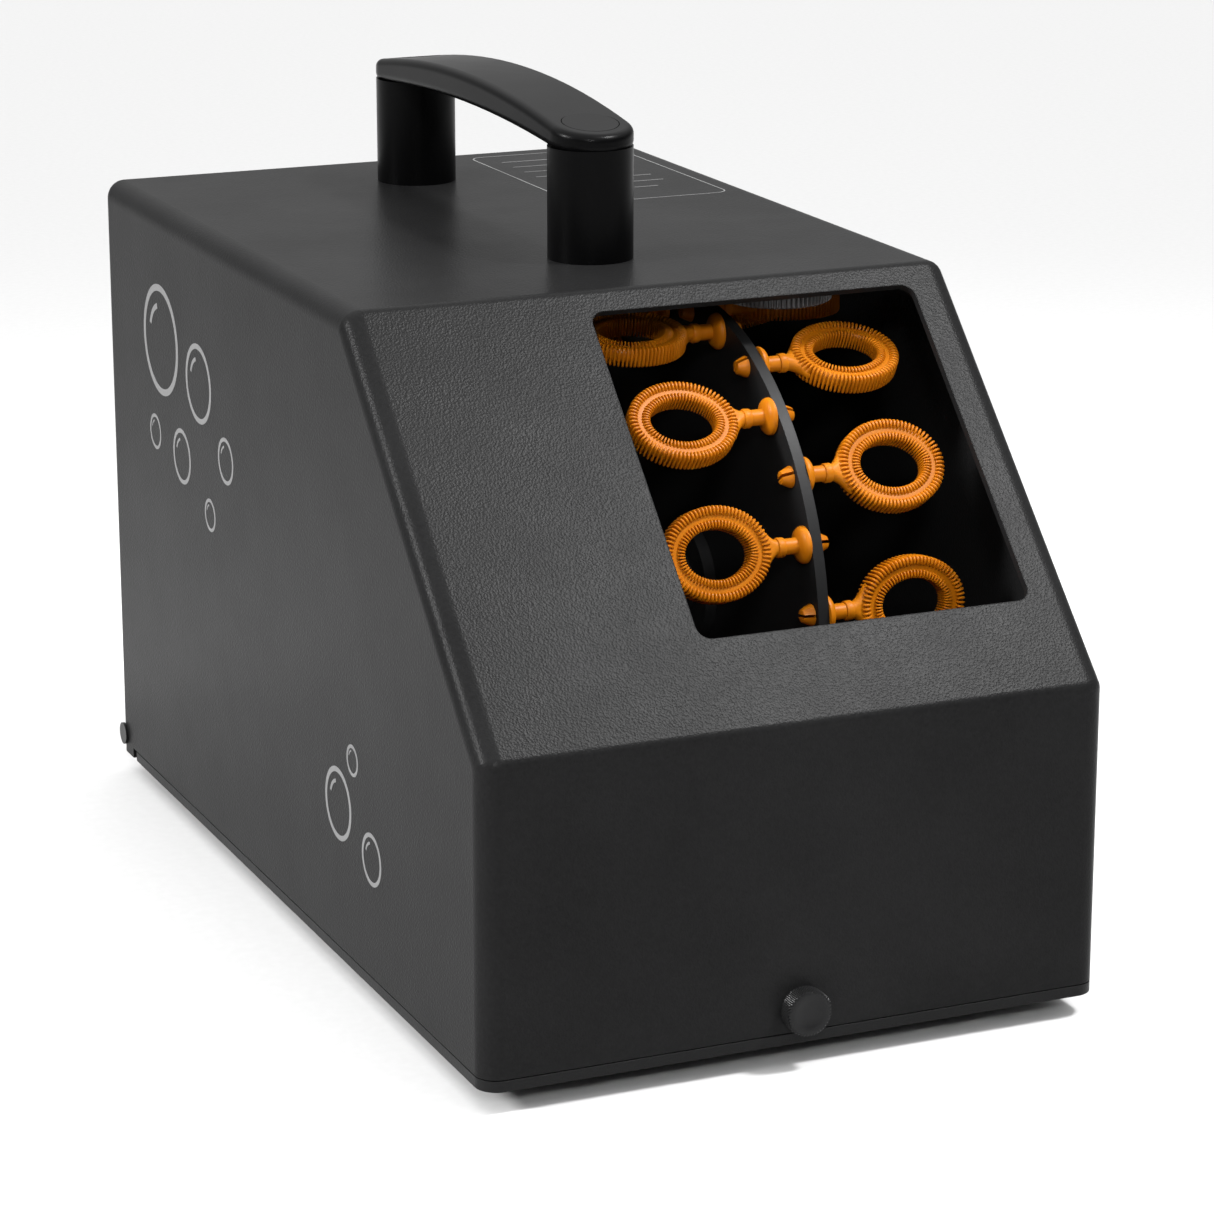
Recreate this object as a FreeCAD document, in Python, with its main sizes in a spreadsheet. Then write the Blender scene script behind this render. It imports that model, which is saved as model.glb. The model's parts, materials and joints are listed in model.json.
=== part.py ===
"""Stage bubble machine: hinged hood over a base tray with a wand wheel, a blower and its drive.

Frame: millimetres, +Z up, the machine's front faces -Y.  The origin lies on the floor, midway
between the two sides and midway between the thumb screw's face and the rear wall.
"""
import FreeCAD, Part
import math
import os
import re
import Sketcher
from FreeCAD import Placement, Rotation, Vector

os.makedirs("parts", exist_ok=True)
doc = FreeCAD.newDocument("BubbleMachine")

DIMENSIONS = [
    # hood
    ("hood_width", 180.0, "across the two sides"),
    ("hood_depth", 315.0, "front panel to rear wall"),
    ("hood_height", 185.3, "underside of the base to the flat top"),
    ("nose_height", 88.3, "underside of the base to the foot of the slope"),
    ("wall", 2.2, "moulded wall of the hood"),
    ("side_round", 6.0, "rounding along the side edges"),
    ("cross_round", 3.0, "rounding along the edges across the hood"),
    ("window_left", -20.9, "window edge, from the middle plane"),
    ("window_right", 76.9, "window edge, from the middle plane"),
    ("window_low", 27.7, "lower window edge, up the slope"),
    ("window_high", 130.1, "upper window edge, up the slope"),
    ("window_round", 4.0, "window corner radius"),
    ("hatch_half", 48.0, "half width of the hatch over the rear panel"),
    ("hatch_low", 27.0, "lower edge of that hatch"),
    ("hatch_high", 104.0, "upper edge of that hatch"),
    ("vent_width", 2.6, "one vent slot"),
    ("vent_tall", 22.0, "one vent slot"),
    ("vent_pitch", 7.0, "vent slot spacing"),
    ("vent_low", 136.0, "lower end of the vent slots"),
    # base
    ("foot_height", 6.5, "rubber foot"),
    ("foot_radius", 7.2, "rubber foot at the top"),
    ("foot_taper", 1.0, "smaller radius at the floor by this much"),
    ("foot_x", 65.0, "foot centre from the middle plane"),
    ("foot_front", -132.0, "front feet"),
    ("foot_rear", 121.0, "rear feet"),
    ("base_thick", 3.0, "base plate"),
    ("base_rear", 144.0, "rear edge of the base plate"),
    ("lip_tall", 3.5, "locating lip inside the hood wall"),
    ("lip_thick", 1.6, "locating lip"),
    ("seam", 0.3, "gap between hood and base"),
    ("fit", 0.05, "radial clearance of a turning fit"),
    ("small_hole", 1.6, "clearance hole for the small screws"),
    ("small_shank", 1.5, "small screw"),
    ("small_head", 2.8, "small screw head"),
    ("head_tall", 1.8, "small screw head"),
    ("lip_gap", 0.5, "locating lip to the hood wall"),
    ("lip_end", 12.0, "side lips start this far behind the front wall"),
    ("lip_rear", 125.0, "rear end of the side lips"),
    ("lock_gap", 14.0, "half of the gap between the front lips, for the lock"),
    ("boss_radius", 4.0, "screw boss over each foot"),
    ("boss_tall", 4.0, "screw boss over each foot"),
    ("foot_recess", 3.4, "recess for a foot's screw head"),
    ("recess_deep", 3.0, "recess for a foot's screw head"),
    ("hood_step", 3.3, "rear wall's notch behind the base plate"),
    # hinge
    ("pin_inset", 4.5, "hinge axis from the rear wall's outer face"),
    ("pin_lift", 5.9, "hinge axis above the base's underside"),
    ("pin_radius", 1.5, "hinge pin"),
    ("pin_head", 3.5, "hinge pin head radius"),
    ("pin_head_thick", 0.8, "hinge pin head"),
    ("lug_radius", 4.0, "hinge lug"),
    ("lug_inner", 80.0, "inner face of a lug from the middle plane"),
    ("lug_outer", 86.5, "outer face of a lug"),
    # wand wheel
    ("wheel_x", 28.8, "middle plane of the wheel disc"),
    ("wheel_y", -24.6, "wheel axis"),
    ("wheel_z", 96.45, "wheel axis"),
    ("disc_radius", 83.4, "wheel disc"),
    ("disc_thick", 3.2, "wheel disc"),
    ("wand_pitch_radius", 79.25, "wand stems from the wheel axis"),
    ("wand_count", 26, "thirteen to each side, alternating"),
    ("wand_start", 7.8, "degrees above the horizontal of the first right-hand wand"),
    ("wand_reach", 28.4, "ring centre from the disc's middle plane"),
    ("ring_long", 15.8, "outer half length of a ring, along the axle"),
    ("ring_short", 13.2, "outer half width of a ring"),
    ("ring_wall", 6.3, "width of a ring's band"),
    ("ring_tall", 6.0, "depth of a ring"),
    ("stem_radius", 2.25, "wand stem"),
    ("skirt_radius", 5.2, "skirt against the disc"),
    ("tip_radius", 3.1, "split snap tip"),
    ("axle_radius", 3.0, "wheel axle"),
    ("hub_radius", 18.0, "hub flanges"),
    ("hub_neck", 10.0, "hub sleeve"),
    ("hub_long", 16.0, "hub, with its flange"),
    ("flange_thick", 3.5, "flange of the hub"),
    ("clamp_thick", 3.0, "clamp plate on the other side of the disc"),
    ("hub_bolts", 13.5, "screws that hold the clamp, from the axle"),
    ("nut_corner", 6.2, "hub nut, centre to corner"),
    ("nut_thick", 4.0, "hub nut"),
    ("tip_long", 3.2, "split snap tip"),
    ("tip_neck", 1.9, "narrow end of the snap tip"),
    ("tip_slit", 0.9, "slit through the snap tip"),
    ("collar_long", 2.2, "collar on a wand's stem"),
    ("flare_long", 3.5, "flare from the stem into the ring"),
    # drive
    ("bracket_x", -26.0, "outer face of the wheel bracket"),
    ("sheet", 2.0, "bracket sheet"),
    ("gearbox_radius", 18.5, "wheel gearbox"),
    ("gearbox_long", 20.0, "wheel gearbox"),
    ("motor_radius", 16.0, "wheel motor"),
    ("motor_long", 30.0, "wheel motor"),
    ("bracket_half", 36.0, "half length of the wheel bracket"),
    ("bracket_foot", 24.0, "foot of the wheel bracket"),
    ("drive_bolts", 14.0, "gearbox screws from the axle"),
    ("gear_boss", 6.5, "gearbox boss round the axle"),
    ("axle_seat", 10.0, "depth of the axle's bore in the gearbox"),
    # tank
    ("tank_left", -20.5, "outer face"),
    ("tank_right", 78.5, "outer face"),
    ("tank_front", -96.0, "outer face"),
    ("tank_rear", 47.0, "outer face"),
    ("tank_tall", 34.5, "height over the base plate"),
    ("tank_wall", 1.5, "tank wall"),
    ("tank_round", 5.0, "tank corners"),
    # blower
    ("blower_y", 104.0, "rotor axis"),
    ("blower_z", 100.0, "rotor axis"),
    ("blower_left", 2.0, "left face of the scroll"),
    ("blower_wide", 54.0, "scroll width"),
    ("scroll_radius", 38.0, "scroll"),
    ("scroll_wall", 1.8, "scroll wall"),
    ("outlet_front", 64.0, "mouth of the outlet"),
    ("outlet_low", 10.0, "outlet floor above the rotor axis"),
    ("rotor_radius", 28.0, "squirrel-cage rotor"),
    ("rotor_wide", 42.0, "squirrel-cage rotor"),
    ("blade_count", 30, "blades"),
    ("fan_shaft_radius", 2.0, "blower shaft"),
    ("fan_motor_radius", 18.0, "blower motor"),
    ("fan_motor_long", 30.0, "blower motor"),
    ("blower_bolts", 25.0, "blower screws from the rotor axis"),
    ("eye_radius", 21.0, "air inlet in the blower cover"),
    ("eye_rim", 24.0, "rim round the air inlet"),
    ("motor_boss", 8.0, "blower motor's boss through the scroll"),
    ("stand_front", 28.0, "blower stand ahead of the rotor axis"),
    ("stand_rear", 27.0, "blower stand behind the rotor axis"),
    ("stand_top", 24.0, "blower stand's upper corners"),
    ("stand_foot", 20.0, "foot of the blower stand"),
    ("blade_deep", 5.0, "blade, radially"),
    ("rotor_plate", 1.6, "end plates of the rotor"),
    # electrics
    ("board_left", -82.0, "control board"),
    ("board_front", 12.0, "control board"),
    ("board_wide", 44.0, "control board"),
    ("board_long", 46.0, "control board"),
    ("board_thick", 1.6, "control board"),
    ("board_lift", 6.0, "control board over the base plate"),
    ("board_inset", 3.5, "board fixings from its edges"),
    ("supply_front", 60.0, "power supply"),
    ("supply_wide", 46.0, "power supply"),
    ("supply_long", 55.0, "power supply"),
    ("supply_tall", 38.0, "power supply"),
    # rear panel
    ("panel_half", 56.0, "half width of the rear panel"),
    ("panel_top", 112.0, "top of the rear panel"),
    ("panel_face", 156.5, "rear face of the rear panel"),
    ("panel_sheet", 1.5, "rear panel sheet"),
    ("inlet_x", -28.0, "power inlet and switch, from the middle plane"),
    ("inlet_z", 48.0, "power inlet"),
    ("switch_z", 82.0, "rocker switch"),
    ("panel_jog", 20.0, "height at which the panel steps back to its face"),
    ("panel_foot", 12.5, "foot of the rear panel"),
    ("panel_screw", 46.0, "rear panel screws from the middle plane"),
    ("rocker_tilt", 9.0, "rocker tilt each way, in degrees"),
    ("rocker_pin", 1.2, "pivot pin of the rocker"),
    ("rocker_half", 5.2, "half width of the rocker"),
    ("pivot_in", 1.6, "rocker pivot behind the panel's face"),
    ("fuse_x", 12.0, "fuse holder"),
    ("fuse_z", 48.0, "fuse holder"),
    # lock
    ("lock_z", 16.6, "thumb screw axis"),
    ("knob_radius", 6.6, "thumb screw head"),
    ("knob_thick", 5.0, "thumb screw head"),
    ("washer_thick", 0.5, "lock washer"),
    ("washer_gap", 0.15, "play on the hood side of the washer"),
    ("knob_gap", 0.1, "play between washer and head"),
    ("screw_radius", 2.0, "thumb screw thread"),
    ("screw_long", 15.5, "thumb screw behind its head"),
    ("slot_gap", 0.35, "thumb screw in its hole and slot"),
    ("fork_half", 10.0, "half width of the fork"),
    ("fork_foot", 16.0, "foot of the fork"),
    ("fork_screw", 6.0, "fork screws from the middle plane"),
    ("fork_gap", 0.9, "fork behind the hood's front wall"),
    # handle
    ("handle_y", 53.6, "middle of the handle"),
    ("handle_span", 136.8, "between the two posts"),
    ("post_radius", 12.15, "handle posts"),
    ("grip_under", 223.0, "underside of the grip at the posts"),
    ("grip_top", 229.9, "top of the grip at the posts"),
    ("grip_under_rise", 3.4, "rise of the underside towards the middle"),
    ("grip_top_rise", 5.2, "rise of the top towards the middle"),
    ("cap_radius", 8.0, "screw caps in the grip"),
    ("cap_thick", 1.2, "screw caps in the grip"),
    ("cap_sink", 1.1, "underside of a cap below the grip's top"),
    ("grip_drop", 1.9, "fall of the grip's curve from a post to its end"),
    ("grip_curve", 430.0, "radius of the grip's upper curve"),
    ("grip_round", 2.4, "rounding round the grip"),
    ("post_screw", 2.5, "screw inside a post"),
    ("post_head", 4.6, "head of that screw"),
    # lamp
    ("lamp_x", 45.2, "lamp under the hood's top"),
    ("lamp_y", -41.8, "lamp under the hood's top"),
    ("lamp_radius", 15.5, "ribbed drum of the lamp"),
    ("lamp_low", 181.2, "lower rim of the lamp"),
    ("lamp_step", 186.4, "where the drum narrows to its neck"),
    ("lamp_rim", 2.2, "rim of the drum round its lens"),
]

sheet = doc.addObject("Spreadsheet::Sheet", "Dimensions")
for row, (alias, size, note) in enumerate(DIMENSIONS, start=1):
    sheet.set(f"A{row}", note)
    sheet.set(f"B{row}", str(size))
    sheet.setAlias(f"B{row}", alias)
doc.recompute()

# Places worked out from the driving sizes, as expression text.
FRONT = "((washer_gap + washer_thick + knob_gap + knob_thick - hood_depth) / 2)"
REAR = f"({FRONT} + hood_depth)"
HALF = "(hood_width / 2)"
UNDER = "foot_height"
FLOOR = "(foot_height + base_thick)"
TOP = "(foot_height + hood_height)"
CEILING = f"({TOP} - wall)"
NOSE = "(foot_height + nose_height)"
SLOPE_END = f"({FRONT} + hood_height - nose_height)"
PIN_Y = f"({REAR} - pin_inset)"
PIN_Z = f"({UNDER} + pin_lift)"
DISC_LEFT = "(wheel_x - disc_thick / 2)"
DISC_RIGHT = "(wheel_x + disc_thick / 2)"
NODES = []
ALIASES = {alias for alias, size, note in DIMENSIONS}


def cell(word):
    """A word of an expression text, as a cell of the sheet if it is an alias."""
    return f"Dimensions.{word[0]}" if word[0] in ALIASES else word[0]


def ex(text):
    """The expression text with every alias written as a cell of the sheet."""
    return re.sub(r"[a-z_]+", cell, str(text))


def value(text):
    """The number that an expression text stands for."""
    return float(sheet.evalExpression(ex(text)))


def bind(thing, **sizes):
    for name, text in sizes.items():
        thing.setExpression(name.replace("__", "."), ex(text))
    return thing


def keep(thing, label):
    """Make an object a sub-part of its own."""
    thing.Label = label
    NODES.append(thing)
    return thing


# ---------------------------------------------------------------- Part primitives
TURN = {
    "x": Rotation(Vector(0, 1, 0), 90),
    "y": Rotation(Vector(1, 0, 0), -90),
    "z": Rotation(),
}


def put(thing, x, y, z):
    thing.setExpression("Placement.Base.x", ex(x))
    thing.setExpression("Placement.Base.y", ex(y))
    thing.setExpression("Placement.Base.z", ex(z))
    return thing


def box(x, y, z, dx, dy, dz):
    """A block from its low corner and its three sizes."""
    block = doc.addObject("Part::Box", "Box")
    bind(block, Length=dx, Width=dy, Height=dz)
    return put(block, x, y, z)


def rod(axis, x, y, z, radius, length):
    """A cylinder from the middle of its low end, along x, y or z."""
    round_bar = doc.addObject("Part::Cylinder", "Rod")
    round_bar.Placement = Placement(Vector(), TURN[axis])
    bind(round_bar, Radius=radius, Height=length)
    return put(round_bar, x, y, z)


def cone(axis, x, y, z, radius, end_radius, length):
    taper = doc.addObject("Part::Cone", "Taper")
    taper.Placement = Placement(Vector(), TURN[axis])
    bind(taper, Radius1=radius, Radius2=end_radius, Height=length)
    return put(taper, x, y, z)


def fuse(*shapes):
    joined = doc.addObject("Part::MultiFuse", "Joined")
    joined.Shapes = list(shapes)
    joined.Refine = True
    return joined


def cut(base, *tools):
    trimmed = doc.addObject("Part::Cut", "Trimmed")
    trimmed.Base = base
    trimmed.Tool = tools[0] if len(tools) == 1 else fuse(*tools)
    return trimmed


def group(label, shapes):
    """Several separate solids in one sub-part."""
    several = doc.addObject("Part::Compound", "Group")
    several.Links = list(shapes)
    return keep(several, label)


# ---------------------------------------------------------------- PartDesign helpers
NORMAL_SIGN = {"XY_Plane": 1, "XZ_Plane": -1, "YZ_Plane": 1}


def new_sketch(body, plane, start="0", length="0"):
    """A sketch on the body's own origin plane; features built on it fill start .. start + length."""
    sketch = body.newObject("Sketcher::SketchObject", "Sketch")
    origin_plane = [one for one in body.Origin.OriginFeatures if one.Role == plane][0]
    sketch.AttachmentSupport = (origin_plane, [""])
    sketch.MapMode = "FlatFace"
    offset = start if NORMAL_SIGN[plane] > 0 else f"-({start} + {length})"
    sketch.setExpression("AttachmentOffset.Base.z", ex(offset))
    return sketch


def pin_point(sketch, geometry, corner, x, y):
    """Tie one point of a sketch to its two coordinates."""
    for kind, axis, text in (("DistanceX", -2, x), ("DistanceY", -1, y)):
        size = value(text)
        if abs(size) < 1e-6:
            sketch.addConstraint(Sketcher.Constraint("PointOnObject", geometry, corner, axis))
        else:
            index = sketch.addConstraint(Sketcher.Constraint(kind, -1, 1, geometry, corner, size))
            sketch.setExpression(f"Constraints[{index}]", ex(text))


def outline(sketch, corners):
    """A closed outline of straight lines through the given corners."""
    points = [Vector(value(x), value(y), 0) for x, y in corners]
    first = sketch.GeometryCount
    for number, point in enumerate(points):
        after = points[(number + 1) % len(points)]
        sketch.addGeometry(Part.LineSegment(point, after), False)
    for number in range(len(points)):
        after = (number + 1) % len(points)
        sketch.addConstraint(Sketcher.Constraint("Coincident", first + number, 2, first + after, 1))
    for number, (x, y) in enumerate(corners):
        pin_point(sketch, first + number, 1, x, y)


def oblong(sketch, x, y, x_end, y_end):
    outline(sketch, [(x, y), (x_end, y), (x_end, y_end), (x, y_end)])


def ring(sketch, x, y, radius):
    """A full circle."""
    centre = Vector(value(x), value(y), 0)
    index = sketch.addGeometry(Part.Circle(centre, Vector(0, 0, 1), value(radius)), False)
    pin_point(sketch, index, 3, x, y)
    size = sketch.addConstraint(Sketcher.Constraint("Radius", index, value(radius)))
    sketch.setExpression(f"Constraints[{size}]", ex(radius))


def new_body(label):
    body = doc.addObject("PartDesign::Body", "Body")
    return keep(body, label)


def add(body, plane, start, length, draw, *shape):
    """Pad what draw puts in a sketch over start .. start + length."""
    sketch = new_sketch(body, plane, start, length)
    draw(sketch, *shape)
    pad = body.newObject("PartDesign::Pad", "Pad")
    pad.Profile = sketch
    pad.setExpression("Length", ex(length))
    body.Tip = pad
    return pad


def remove(body, plane, start, length, draw, *shape):
    """Pocket what draw puts in a sketch over start .. start + length."""
    sketch = new_sketch(body, plane, start, length)
    draw(sketch, *shape)
    pocket = body.newObject("PartDesign::Pocket", "Pocket")
    pocket.Profile = sketch
    pocket.setExpression("Length", ex(length))
    pocket.Reversed = True
    body.Tip = pocket
    return pocket


def edge_names(feature, wanted):
    """Names of the feature's edges that a test accepts."""
    edges = enumerate(feature.Shape.Edges, start=1)
    return [f"Edge{number}" for number, edge in edges if wanted(edge)]


def round_edges(body, radius, wanted):
    doc.recompute()
    base = body.Tip
    fillet = body.newObject("PartDesign::Fillet", "Fillet")
    fillet.Base = (base, edge_names(base, wanted))
    fillet.setExpression("Radius", ex(radius))
    body.Tip = fillet
    return fillet


def runs_along(edge, direction):
    """True for a straight edge parallel to a direction."""
    if edge.Degenerated or not isinstance(edge.Curve, Part.Line):
        return False
    return abs(edge.Curve.Direction.dot(direction)) > 0.999


def near(number, text):
    return abs(number - value(text)) < 0.01


# ---------------------------------------------------------------- hood
def slope_sketch(body, length):
    """A sketch on the slope: x across the hood, y up the slope from its foot, normal outwards."""
    sketch = new_sketch(body, "XY_Plane")
    sketch.AttachmentOffset = Placement(Vector(), Rotation(Vector(1, 0, 0), 45))
    sketch.setExpression("AttachmentOffset.Base.y", ex(f"{FRONT} + {length} * sin(45)"))
    sketch.setExpression("AttachmentOffset.Base.z", ex(f"{NOSE} - {length} * cos(45)"))
    return sketch


def hood_shell():
    body = new_body("hood_shell")
    side = [
        (FRONT, f"{FLOOR} + seam"),
        (FRONT, NOSE),
        (SLOPE_END, TOP),
        (REAR, TOP),
        (REAR, UNDER),
        ("base_rear + hood_step", UNDER),
        ("base_rear + hood_step", f"{FLOOR} + seam"),
    ]
    add(body, "YZ_Plane", f"-{HALF}", "hood_width", outline, side)
    slope = Vector(0, 1, 1).normalize()

    def side_edge(edge):
        middle = edge.BoundBox.Center
        if abs(abs(middle.x) - value(HALF)) > 0.01:
            return False
        if runs_along(edge, Vector(0, 0, 1)):
            return near(middle.y, FRONT) or near(middle.y, REAR)
        return runs_along(edge, slope) or (runs_along(edge, Vector(0, 1, 0)) and near(middle.z, TOP))

    def cross_edge(edge):
        middle = edge.BoundBox.Center
        if not runs_along(edge, Vector(1, 0, 0)):
            return False
        upper = near(middle.z, TOP) and (near(middle.y, SLOPE_END) or near(middle.y, REAR))
        return upper or (near(middle.z, NOSE) and near(middle.y, FRONT))

    round_edges(body, "cross_round", cross_edge)
    round_edges(body, "side_round", side_edge)
    bevel = "(sqrt(2) - 1) * wall"
    inside = [
        (f"{FRONT} + wall", f"{UNDER} - 1"),
        (f"{FRONT} + wall", f"{NOSE} - {bevel}"),
        (f"{SLOPE_END} + {bevel}", CEILING),
        (f"{REAR} - wall", CEILING),
        (f"{REAR} - wall", f"{UNDER} - 1"),
    ]
    remove(body, "YZ_Plane", f"-({HALF} - wall)", "hood_width - 2 * wall", outline, inside)

    def inner_edge(edge):
        middle = edge.BoundBox.Center
        if abs(abs(middle.x) - value(f"{HALF} - wall")) > 0.01:
            return False
        if runs_along(edge, Vector(0, 0, 1)):
            return near(middle.y, f"{FRONT} + wall") or near(middle.y, f"{REAR} - wall")
        return runs_along(edge, slope) or (runs_along(edge, Vector(0, 1, 0)) and near(middle.z, CEILING))

    round_edges(body, "side_round - wall", inner_edge)
    hood_openings(body)
    return body


def hood_openings(body):
    through = "4 * wall"
    window = slope_sketch(body, "2 * wall")
    oblong(window, "window_left", "window_low", "window_right", "window_high")
    pocket = body.newObject("PartDesign::Pocket", "Window")
    pocket.Profile = window
    pocket.setExpression("Length", ex(through))
    pocket.Reversed = True
    body.Tip = pocket
    slope_out = Vector(0, -1, 1).normalize()
    round_edges(body, "window_round", lambda edge: runs_along(edge, slope_out) and window_corner(edge))
    rear_start = f"{REAR} - 2 * wall"
    hatch = ("-hatch_half", "hatch_low", "hatch_half", "hatch_high")
    remove(body, "XZ_Plane", rear_start, through, oblong, *hatch)
    lug_gap = f"{PIN_Z} + lug_radius + 2"
    lug_edge = "lug_inner - 2"
    for left, right in ((lug_edge, f"{HALF} - wall"), (f"-({HALF} - wall)", f"-({lug_edge})")):
        remove(body, "XZ_Plane", rear_start, through, oblong, left, f"{UNDER} - 1", right, lug_gap)
    remove(body, "YZ_Plane", f"-{HALF} - 1", "hood_width + 2", ring, PIN_Y, PIN_Z, "pin_radius + fit / 5")
    remove(body, "XZ_Plane", f"{FRONT} - 1", "3 * wall", ring, "0", "lock_z", "screw_radius + slot_gap")
    for end in ("-1", "1"):
        post_y = f"handle_y + {end} * handle_span / 2"
        remove(body, "XY_Plane", f"{TOP} - 2 * wall", through, ring, "0", post_y, "post_screw + slot_gap")
    vents(body, rear_start, through)


def window_corner(edge):
    middle = edge.BoundBox.Center
    left = abs(middle.x - value("window_left")) < 0.01
    right = abs(middle.x - value("window_right")) < 0.01
    return left or right


def vents(body, start, through):
    """A row of upright slots high in the rear wall."""
    left = "-8.5 * vent_pitch"
    shape = (left, "vent_low", f"{left} + vent_width", "vent_low + vent_tall")
    slot = remove(body, "XZ_Plane", start, through, oblong, *shape)
    row_of = body.newObject("PartDesign::LinearPattern", "VentRow")
    row_of.Originals = [slot]
    row_of.Direction = (slot.Profile[0], ["H_Axis"])
    row_of.setExpression("Length", ex("17 * vent_pitch"))
    row_of.Occurrences = 18
    body.Tip = row_of


def hinge_pins():
    """Two headed pins from the hood's sides into the base lugs."""
    pins = []
    reach = f"({HALF} - lug_inner)"
    for low_shaft, low_head in (("lug_inner", HALF), (f"-{HALF}", f"-{HALF} - pin_head_thick")):
        shaft = rod("x", low_shaft, PIN_Y, PIN_Z, "pin_radius", reach)
        head = rod("x", low_head, PIN_Y, PIN_Z, "pin_head", "pin_head_thick")
        pins.append(fuse(shaft, head))
    group("hinge_pins", pins)


# ---------------------------------------------------------------- base
def base_plate():
    body = new_body("base_plate")
    plate = (f"-{HALF}", FRONT, HALF, "base_rear")
    add(body, "XY_Plane", UNDER, "base_thick", oblong, *plate)

    def front_corner(edge):
        return runs_along(edge, Vector(0, 0, 1)) and near(edge.BoundBox.Center.y, FRONT)

    round_edges(body, "side_round", front_corner)
    lip_out = f"({HALF} - wall - lip_gap)"
    lip_in = f"({lip_out} - lip_thick)"
    front_out = f"({FRONT} + wall + lip_gap)"
    root = f"{FLOOR} - base_thick / 2"
    lip_height = "lip_tall + base_thick / 2"
    back = f"({FRONT} + wall + lip_end)"
    for left, right in ((lip_in, lip_out), (f"-{lip_out}", f"-{lip_in}")):
        add(body, "XY_Plane", root, lip_height, oblong, left, back, right, "lip_rear")
    for left, right in (("lock_gap", f"{HALF} - lip_end"), (f"-{HALF} + lip_end", "-lock_gap")):
        front_lip = (left, front_out, right, f"{front_out} + lip_thick")
        add(body, "XY_Plane", root, lip_height, oblong, *front_lip)
    lug = ("base_rear - 6", f"{PIN_Z} - lug_radius", PIN_Y, f"{PIN_Z} + lug_radius")
    for start in ("lug_inner", "-lug_outer"):
        add(body, "YZ_Plane", start, "lug_outer - lug_inner", oblong, *lug)
        add(body, "YZ_Plane", start, "lug_outer - lug_inner", ring, PIN_Y, PIN_Z, "lug_radius")
    foot_places = [(x, y) for x in ("foot_x", "-foot_x") for y in ("foot_front", "foot_rear")]
    for x, y in foot_places:
        add(body, "XY_Plane", root, "boss_tall + base_thick / 2", ring, x, y, "boss_radius")
    for x, y in foot_places:
        remove(body, "XY_Plane", f"{UNDER} - 1", "base_thick + boss_tall + 2", ring, x, y, "small_hole")
    remove(body, "YZ_Plane", "-lug_outer - 1", "2 * lug_outer + 2", ring, PIN_Y, PIN_Z, "pin_radius + fit")
    return foot_places


def feet(places):
    pads, screws = [], []
    for x, y in places:
        pad = cone("z", x, y, "0", "foot_radius - foot_taper", "foot_radius", "foot_height")
        bore = rod("z", x, y, "-1", "small_hole", "foot_height + 2")
        recess = rod("z", x, y, "-1", "foot_recess", "recess_deep + 1")
        pads.append(cut(pad, bore, recess))
        head = rod("z", x, y, "recess_deep - head_tall", "small_head", "head_tall")
        shank = rod("z", x, y, "recess_deep - head_tall / 2", "small_shank", "foot_height + base_thick")
        screws.append(fuse(shank, head))
    group("rubber_feet", pads)
    group("foot_screws", screws)


def fluid_tank():
    body = new_body("fluid_tank")
    outer = ("tank_left", "tank_front", "tank_right", "tank_rear")
    add(body, "XY_Plane", FLOOR, "tank_tall", oblong, *outer)
    round_edges(body, "tank_round", lambda edge: runs_along(edge, Vector(0, 0, 1)))
    left, right = "tank_left + tank_wall", "tank_right - tank_wall"
    inner = (left, "tank_front + tank_wall", right, "tank_rear - tank_wall")
    remove(body, "XY_Plane", f"{FLOOR} + tank_wall", "tank_tall", oblong, *inner)

    def inside_corner(edge):
        x = edge.BoundBox.Center.x
        return runs_along(edge, Vector(0, 0, 1)) and (near(x, left) or near(x, right))

    round_edges(body, "tank_round - tank_wall", inside_corner)


# ---------------------------------------------------------------- wand wheel
def three_spots(radius, start):
    """Three places round the wheel's axis, the first one at an angle of start."""
    angles = [start + 120 * place for place in range(3)]
    return [(f"wheel_y + {radius} * cos({a})", f"wheel_z + {radius} * sin({a})") for a in angles]


def wheel_bracket():
    body = new_body("wheel_bracket")
    foot_y, far_y = "wheel_y - bracket_half", "wheel_y + bracket_half"
    upright = [
        (foot_y, FLOOR),
        (far_y, FLOOR),
        (far_y, f"{FLOOR} + 20"),
        ("wheel_y + 24", "wheel_z + 26"),
        ("wheel_y - 24", "wheel_z + 26"),
        (foot_y, f"{FLOOR} + 20"),
    ]
    add(body, "YZ_Plane", "bracket_x", "sheet", outline, upright)
    foot = ("bracket_x - bracket_foot", foot_y, "bracket_x + sheet", far_y)
    add(body, "XY_Plane", FLOOR, "sheet", oblong, *foot)
    through = ("bracket_x - 1", "sheet + 2")
    remove(body, "YZ_Plane", *through, ring, "wheel_y", "wheel_z", "gear_boss + 0.5")
    for y, z in three_spots("drive_bolts", 90):
        remove(body, "YZ_Plane", *through, ring, y, z, "small_hole")


def wheel_drive():
    face = "bracket_x"
    axis = ("wheel_y", "wheel_z")
    case = rod("x", f"{face} - gearbox_long", *axis, "gearbox_radius", "gearbox_long")
    boss = rod("x", f"{face} - 1", *axis, "gear_boss", "sheet + 2")
    bore = rod("x", f"{face} - axle_seat", *axis, "axle_radius + fit", "2 * axle_seat")
    screws, holes = [], []
    for y, z in three_spots("drive_bolts", 90):
        holes.append(rod("x", f"{face} - 6", y, z, "small_shank + fit", "7"))
        shank = rod("x", f"{face} - 5", y, z, "small_shank", "sheet + 5.5")
        head = rod("x", f"{face} + sheet + fit", y, z, "small_head", "head_tall")
        screws.append(fuse(shank, head))
    keep(cut(fuse(case, boss), bore, *holes), "wheel_gearbox")
    group("wheel_motor_screws", screws)
    back = f"{face} - gearbox_long"
    can = rod("x", f"{back} - motor_long", *axis, "motor_radius", "motor_long")
    end = rod("x", f"{back} - motor_long - 3", *axis, "gear_boss", "4")
    keep(fuse(can, end), "wheel_motor")


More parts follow.
